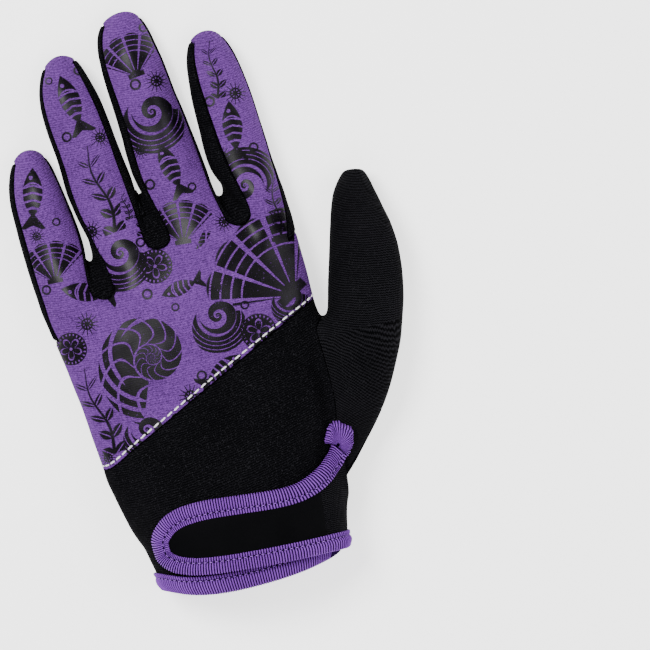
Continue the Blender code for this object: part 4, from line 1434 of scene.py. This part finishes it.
# %% Suede with a tone-on-tone print, label cloth, thread and floor
def plain_cloth(name, dark, light, grain, rough, bump, specular=0.2):
    """A finish of fine grain between two colours."""
    shader, place, _ = starting(name)
    fine = noise_at(place, grain, 3.0, 0.6)
    broad = noise_at(place, 30 * grain)
    shade = ((fine * 0.6 + broad * 0.6) - 0.3).clamped()
    shader.inputs["Specular IOR Level"].default_value = specular
    fed(shader, shade.mixed((*dark, 1), (*light, 1)), rough - fine * 0.08, fine * bump)
    return shader


plain_cloth("label cloth", (0.0009, 0.0009, 0.0012), (0.0024, 0.0024, 0.003), 0.35, 0.6, 0.03, 0.02)
plain_cloth("white thread", (0.62, 0.60, 0.62), (0.95, 0.94, 0.95), 0.3, 0.7, 0.05)
plain_cloth("purple thread", (0.16, 0.05, 0.33), (0.34, 0.15, 0.55), 0.3, 0.6, 0.05)
floor.data.materials.append(finish_named("floor"))
shader = plain_cloth("floor", (0.92, 0.92, 0.92), (0.95, 0.95, 0.95), 8.0, 0.9, 0.0)
shader.inputs["Emission Color"].default_value = (1.0, 1.0, 1.0, 1.0)
shader.inputs["Emission Strength"].default_value = 1.5  # lit paper, nearly white

# %% Ribbed tape
def tape_cloth(name, dark, light, gloss):
    shader, place, _ = starting(name)
    weave = noise_at(place, 0.35, 2.0)
    broad = noise_at(place, 14.0)
    tone = (weave * 0.55 + broad * 0.5).clamped()
    shader.inputs["Specular IOR Level"].default_value = gloss
    fed(shader, tone.mixed((*dark, 1), (*light, 1)), 0.58 - weave * 0.1, weave * 0.04)


tape_cloth("ribbed tape", (0.095, 0.019, 0.205), (0.235, 0.075, 0.45), 0.05)
# Painted shade: near-black purple for the faces between ribs and in the stitched valley.
tape_cloth("painted shade on tape", (0.004, 0.0007, 0.013), (0.016, 0.003, 0.044), 0.01)


# %% [markdown]
# ## The print
# A dark, slightly glossy print covers much of the purple cloth. Its motifs are of the sea:
# a chambered shell, fans, fish, weed, waves, sand dollars, urchins and bubbles. Each is drawn
# once, in its own u and v from -1 to 1, and stamped wherever the table says.

# %% Where the motifs go
Mark = namedtuple("Mark", "x y turn size")
SHELLS = (Mark(-19.0, 20.0, 68, 27.5),)
FANS = (
    Mark(30.0, 43.5, 122, 18.6),
    Mark(2.0, 133.0, 96, 9.4),
    Mark(-46.5, 65.0, 86, 8.8),
    Mark(4.5, 67.0, 84, 9.2),
)
FISHES = (
    Mark(-46.8, 92.0, 76, 9.6),
    Mark(-24.0, 122.5, 98, 9.8),
    Mark(6.0, 88.5, 100, 9.0),
    Mark(33.0, 97.0, 84, 9.4),
    Mark(-2.5, 42.5, 188, 7.0),
    Mark(-37.5, 50.5, 158, 8.8),
    Mark(6.5, 9.0, 24, 8.2),
)
WEEDS = (
    Mark(-21.2, 86.5, 96, 17.6),
    Mark(31.6, 119.5, 86, 11.5),
    Mark(-43.5, 5.5, 98, 17.5),
    Mark(41.0, 62.0, 84, 12.5),
    Mark(-10.5, 74.5, 94, 9.0),
)
CURLS = (
    Mark(4.0, 108.5, 20, 10.6),
    Mark(32.5, 75.0, 196, 9.8),
    Mark(-28.5, -7.0, 20, 8.4),
    Mark(8.5, 27.5, 26, 9.4),
    Mark(-21.5, 60.0, 14, 9.8),
    Mark(36.5, 27.5, 26, 6.6),
)
DOLLARS = (Mark(-9.0, 53.0, 12, 6.6), Mark(22.5, 19.0, 40, 6.8), Mark(-48.0, 31.0, 5, 6.2))
URCHINS = (
    Mark(-49.5, 75.6, 10, 3.2),
    Mark(-16.6, 105.6, 30, 3.8),
    Mark(9.5, 120.8, 0, 4.4),
    Mark(-3.2, 97.0, 20, 3.6),
    Mark(37.2, 108.5, 50, 4.4),
    Mark(26.2, 86.8, 15, 3.8),
    Mark(-29.0, 72.0, 40, 4.4),
    Mark(20.5, 62.5, 25, 4.0),
    Mark(-39.5, 38.5, 0, 4.6),
    Mark(-8.5, 2.0, 30, 4.8),
    Mark(11.5, 39.3, 12, 3.6),
    Mark(-45.0, -12.5, 15, 3.6),
)
BUBBLES = (
    Mark(-51.2, 55.0, 0, 1.9),
    Mark(-41.0, 79.0, 0, 1.6),
    Mark(-28.8, 109.0, 0, 2.0),
    Mark(-18.2, 132.6, 0, 1.9),
    Mark(-30.0, 131.5, 0, 1.5),
    Mark(1.5, 121.5, 0, 2.2),
    Mark(9.8, 142.0, 0, 1.8),
    Mark(27.0, 108.0, 0, 2.1),
    Mark(38.6, 87.0, 0, 1.9),
    Mark(12.2, 78.5, 0, 1.7),
    Mark(-3.0, 83.5, 0, 2.1),
    Mark(-14.5, 43.5, 0, 2.1),
    Mark(-5.5, 36.0, 0, 1.6),
    Mark(-16.0, -4.5, 0, 1.8),
    Mark(-2.5, 8.5, 0, 2.0),
    Mark(-12.0, 63.2, 0, 1.9),
    Mark(20.0, 30.0, 0, 1.7),
)
print("motifs:", sum(len(k) for k in (SHELLS, FANS, FISHES, WEEDS, CURLS, DOLLARS, URCHINS, BUBBLES)))


# %% Stamping one drawing in many places
def stamped(x, y, marks, drawing, reach=1.5, aspect=1.0):
    """The drawing's mask at every mark. Each mark has a disc of its own, and they don't meet."""
    u, v, on = 0.0, 0.0, 0.0
    for mark in marks:
        c, s = math.cos(math.radians(mark.turn)), math.sin(math.radians(mark.turn))
        dx, dy = x - mark.x, y - mark.y
        a = (dx * c + dy * s) / mark.size
        b = (dy * c - dx * s) / mark.size
        near = (a * a + b * b * aspect) < reach * reach
        u, v, on = u + a * near, v + b * near, on + near
    size = sum(mark.size for mark in marks) / len(marks)
    return drawing(u, v, 0.16 / size) * on


def ink(distance, edge):
    """1 where a distance is negative, 0 where it is positive, with a narrow soft edge."""
    return (0.5 - distance / (2 * edge)).clamped()


def polar(u, v):
    return (u * u + v * v) ** 0.5, v.math("ARCTAN2", u)


def line_at(phase, width):
    """1 on a thin line at every whole number of a phase."""
    return abs(phase.fract() - 0.5) > (0.5 - width)


# %% The drawings
def draw_shell(u, v, edge):
    """A chambered shell: a spiral wall, and curved walls between its chambers."""
    growth = 0.185
    far, turn = polar(u, v)
    whorl = far.math("LOGARITHM", math.e) / (2 * math.pi * growth) - turn / (2 * math.pi) + 0.5
    body = ink((whorl - 0.0) * far * growth * 2 * math.pi, edge)
    wall = line_at(whorl, 0.045)
    across = whorl.fract()
    rooms = turn * (11 / (2 * math.pi)) + (across * math.pi).sin() * 0.9
    rooms = line_at(rooms, 0.07) * (far < 0.62).most(across > 0.12)
    stripes = line_at(far * 7.0 + turn * 0.6, 0.2) * (across > 0.55) * (far > 0.5)
    return body * (1 - wall.most(rooms).most(stripes))


def draw_fan(u, v, edge):
    """A fan shell: ribs that spread from a hinge, and growth lines near its lip."""
    far, turn = polar(u + 0.95, v)
    lip = far - 1.72 - abs((turn * 7.5).sin()) * 0.10
    body = ink(lip.most((abs(turn) - 0.92) * far), edge)
    ribs = line_at(turn * (7.5 / math.pi), 0.085) * (far > 0.3)
    growths = line_at(far * 4.6, 0.09) * (far > 1.05)
    hinge = ink((abs(u + 0.86) - 0.10).most(abs(v) - 0.34), edge)
    return (body * (1 - ribs.most(growths))).most(hinge)


def draw_fish(u, v, edge):
    """A fish: a lens, a forked tail, stripes and an eye."""
    side = abs(v)
    body = ink(side - (1 - u * u) * 0.40, edge)
    back = -u
    tail = ink((side - (back - 0.78) * 0.8).most(back - 1.42 + side * -0.45 + 0.12), edge)
    stripes = line_at(u * 3.4 + side * 0.9, 0.14) * (u < 0.30) * (u > -0.75)
    eye = ((u - 0.60) * (u - 0.60) + (v - 0.07) * (v - 0.07)) < 0.0065
    gill = line_at((u + v * v * 1.4) * 1.0 + 0.62, 0.035)
    return body.most(tail) * (1 - stripes.most(eye).most(gill))


def draw_weed(u, v, edge):
    """Weed: a waving stem with pairs of leaves."""
    bent = v - (u * 4.0).sin() * 0.07
    side = abs(bent)
    taper = 0.62 - u * 0.38
    stem = ink(side - taper * 0.045, edge)
    along = ((u * 2.6).fract() - 0.35) / 2.6
    a = along * 0.62 + side * 0.78
    b = side * 0.62 - along * 0.78
    shape = 1 - ((a - 0.17) / 0.19) ** 2
    leaf = ink(abs(b) - shape * taper * 0.115, edge)
    vein = abs(b) < 0.012
    ends = ink(abs(u) - 0.98, edge)
    return stem.most(leaf * (1 - vein)) * ends


def draw_curl(u, v, edge):
    """A breaking wave: a spiral crest on a crescent back."""
    far, turn = polar(u - 0.12, v - 0.1)
    arm = turn / (2 * math.pi) + far.math("LOGARITHM", math.e) * 0.62
    crest = ink(far - 0.74, edge) * (abs(arm.fract() - 0.5) < 0.27)
    outer, inner = polar(u + 0.15, v + 0.35)[0], polar(u - 0.05, v - 0.10)[0]
    back = ink((outer - 1.12).most(0.80 - inner).most(v + u * 0.8 - 0.42), edge)
    streaks = line_at(inner * 6.0, 0.10) * (inner > 0.9)
    return crest.most(back * (1 - streaks))


def draw_dollar(u, v, edge):
    """A sand dollar: a disc with five petals and a notched rim."""
    far, turn = polar(u, v)
    disc = ink(far - 1.0, edge)
    petals = abs((turn * 2.5).sin()) ** 0.6 * 0.66
    outline = abs(far - petals) < 0.055
    rim = line_at(turn * (24 / (2 * math.pi)), 0.18) * (far > 0.80) * (far < 0.93)
    centre = far < 0.10
    return disc * (1 - outline.most(rim).most(centre))


def draw_urchin(u, v, edge):
    """A sea urchin: a ball with a ring of dots, and tapering spines."""
    far, turn = polar(u, v)
    dots = line_at(turn * (8 / (2 * math.pi)), 0.2) * (far > 0.22) * (far < 0.36)
    spines = line_at(turn * (14 / (2 * math.pi)), 0.30 - far * 0.26) * (far < 0.98)
    return (ink(far - 0.5, edge) * (1 - dots)).most(spines * (far > 0.44))


def draw_bubble(u, v, edge):
    far, turn = polar(u, v)
    return ink(abs(far - 0.8) - 0.2, edge)


# %% The printed cloth
def print_mask(place, x, y):
    """Where the print lies, from 0 to 1."""
    mask = stamped(x, y, SHELLS, draw_shell, 1.2)
    mask = mask.most(stamped(x, y, FANS, draw_fan, 1.35))
    mask = mask.most(stamped(x, y, FISHES, draw_fish, 1.5))
    mask = mask.most(stamped(x, y, WEEDS, draw_weed, 1.1, 3.0))
    mask = mask.most(stamped(x, y, CURLS, draw_curl, 1.35))
    mask = mask.most(stamped(x, y, DOLLARS, draw_dollar, 1.1))
    mask = mask.most(stamped(x, y, URCHINS, draw_urchin, 1.1))
    mask = mask.most(stamped(x, y, BUBBLES, draw_bubble, 1.2))
    return mask


shader, place, (x, y, z) = starting("printed knit")
height = knit_height(place, x, y, z, 0)
mask = print_mask(place, x, y)
worn = ((noise_at(place, 0.8, 3.0, 0.65) - 0.27) * 12.0).clamped()
mask = mask * worn
cloudy = noise_at(place, 26.0)
melange = ((noise_at(place, 0.75, 2.0, 0.6) - 0.5) * 2.2 + 0.5).clamped()
# The height term is painted shade: paler on the knit's raised rows, darker between them. Melange and
# cloudy are the cloth's own random tone.
tone = (height * 0.38 + melange * 0.66 + cloudy * 0.36 - 0.21).clamped()
cloth = tone.mixed((0.028, 0.008, 0.056, 1), (0.165, 0.056, 0.296, 1))
sheen = ((noise_at(place, 11.0, 1.0) - 0.48) * 3.0).clamped()
film = sheen.mixed((0.0014, 0.0008, 0.0020, 1), (0.013, 0.011, 0.015, 1))
colour = mask.mixed(cloth, film)
roughness = (0.90 - height * 0.10) * (1 - mask) + (0.42 - melange * 0.1) * mask
shader.inputs["Specular IOR Level"].default_value = 0.03
shader.inputs["Coat Roughness"].default_value = 0.30
shader.id_data.links.new((mask * 0.16).socket, shader.inputs["Coat Weight"])
fed(shader, colour, roughness, height * 0.13 * (1 - mask * 0.5) + mask * 0.10)
print("nodes in the printed cloth:", len(shader.id_data.nodes))

# %% The suede, with the same sea in dark grey
PALM_FANS = (Mark(10.0, 20.0, 60, 16.0), Mark(-30.0, 45.0, 120, 11.0), Mark(64.0, 30.0, 20, 9.0))
PALM_CURLS = (Mark(-28.0, 0.0, 10, 10.0), Mark(30.0, 50.0, 190, 9.0), Mark(5.0, -35.0, 15, 10.0))
PALM_CURLS += (Mark(-23.0, 105.0, 30, 7.0), Mark(33.0, 100.0, 60, 7.0))
PALM_FISHES = (Mark(5.0, 110.0, 90, 8.0), Mark(-47.0, 80.0, 80, 7.0), Mark(-5.0, 60.0, 160, 8.0))
shader, place, (x, y, z) = starting("suede")
mask = stamped(x, y, PALM_FANS, draw_fan, 1.35)
mask = mask.most(stamped(x, y, PALM_CURLS, draw_curl, 1.35))
mask = mask.most(stamped(x, y, PALM_FISHES, draw_fish, 1.5)) * (z < 5.0)
nap = noise_at(place, 0.45, 3.0, 0.6)
broad = noise_at(place, 14.0)
shade = (nap * 0.6 + broad * 0.5 - 0.25).clamped()
cloth = shade.mixed((0.0014, 0.0014, 0.0017, 1), (0.0065, 0.0065, 0.0072, 1))
colour = mask.mixed(cloth, (0.026, 0.026, 0.028, 1))
shader.inputs["Specular IOR Level"].default_value = 0.02
fed(shader, colour, 0.95 - mask * 0.45, nap * 0.10 + mask * 0.06)
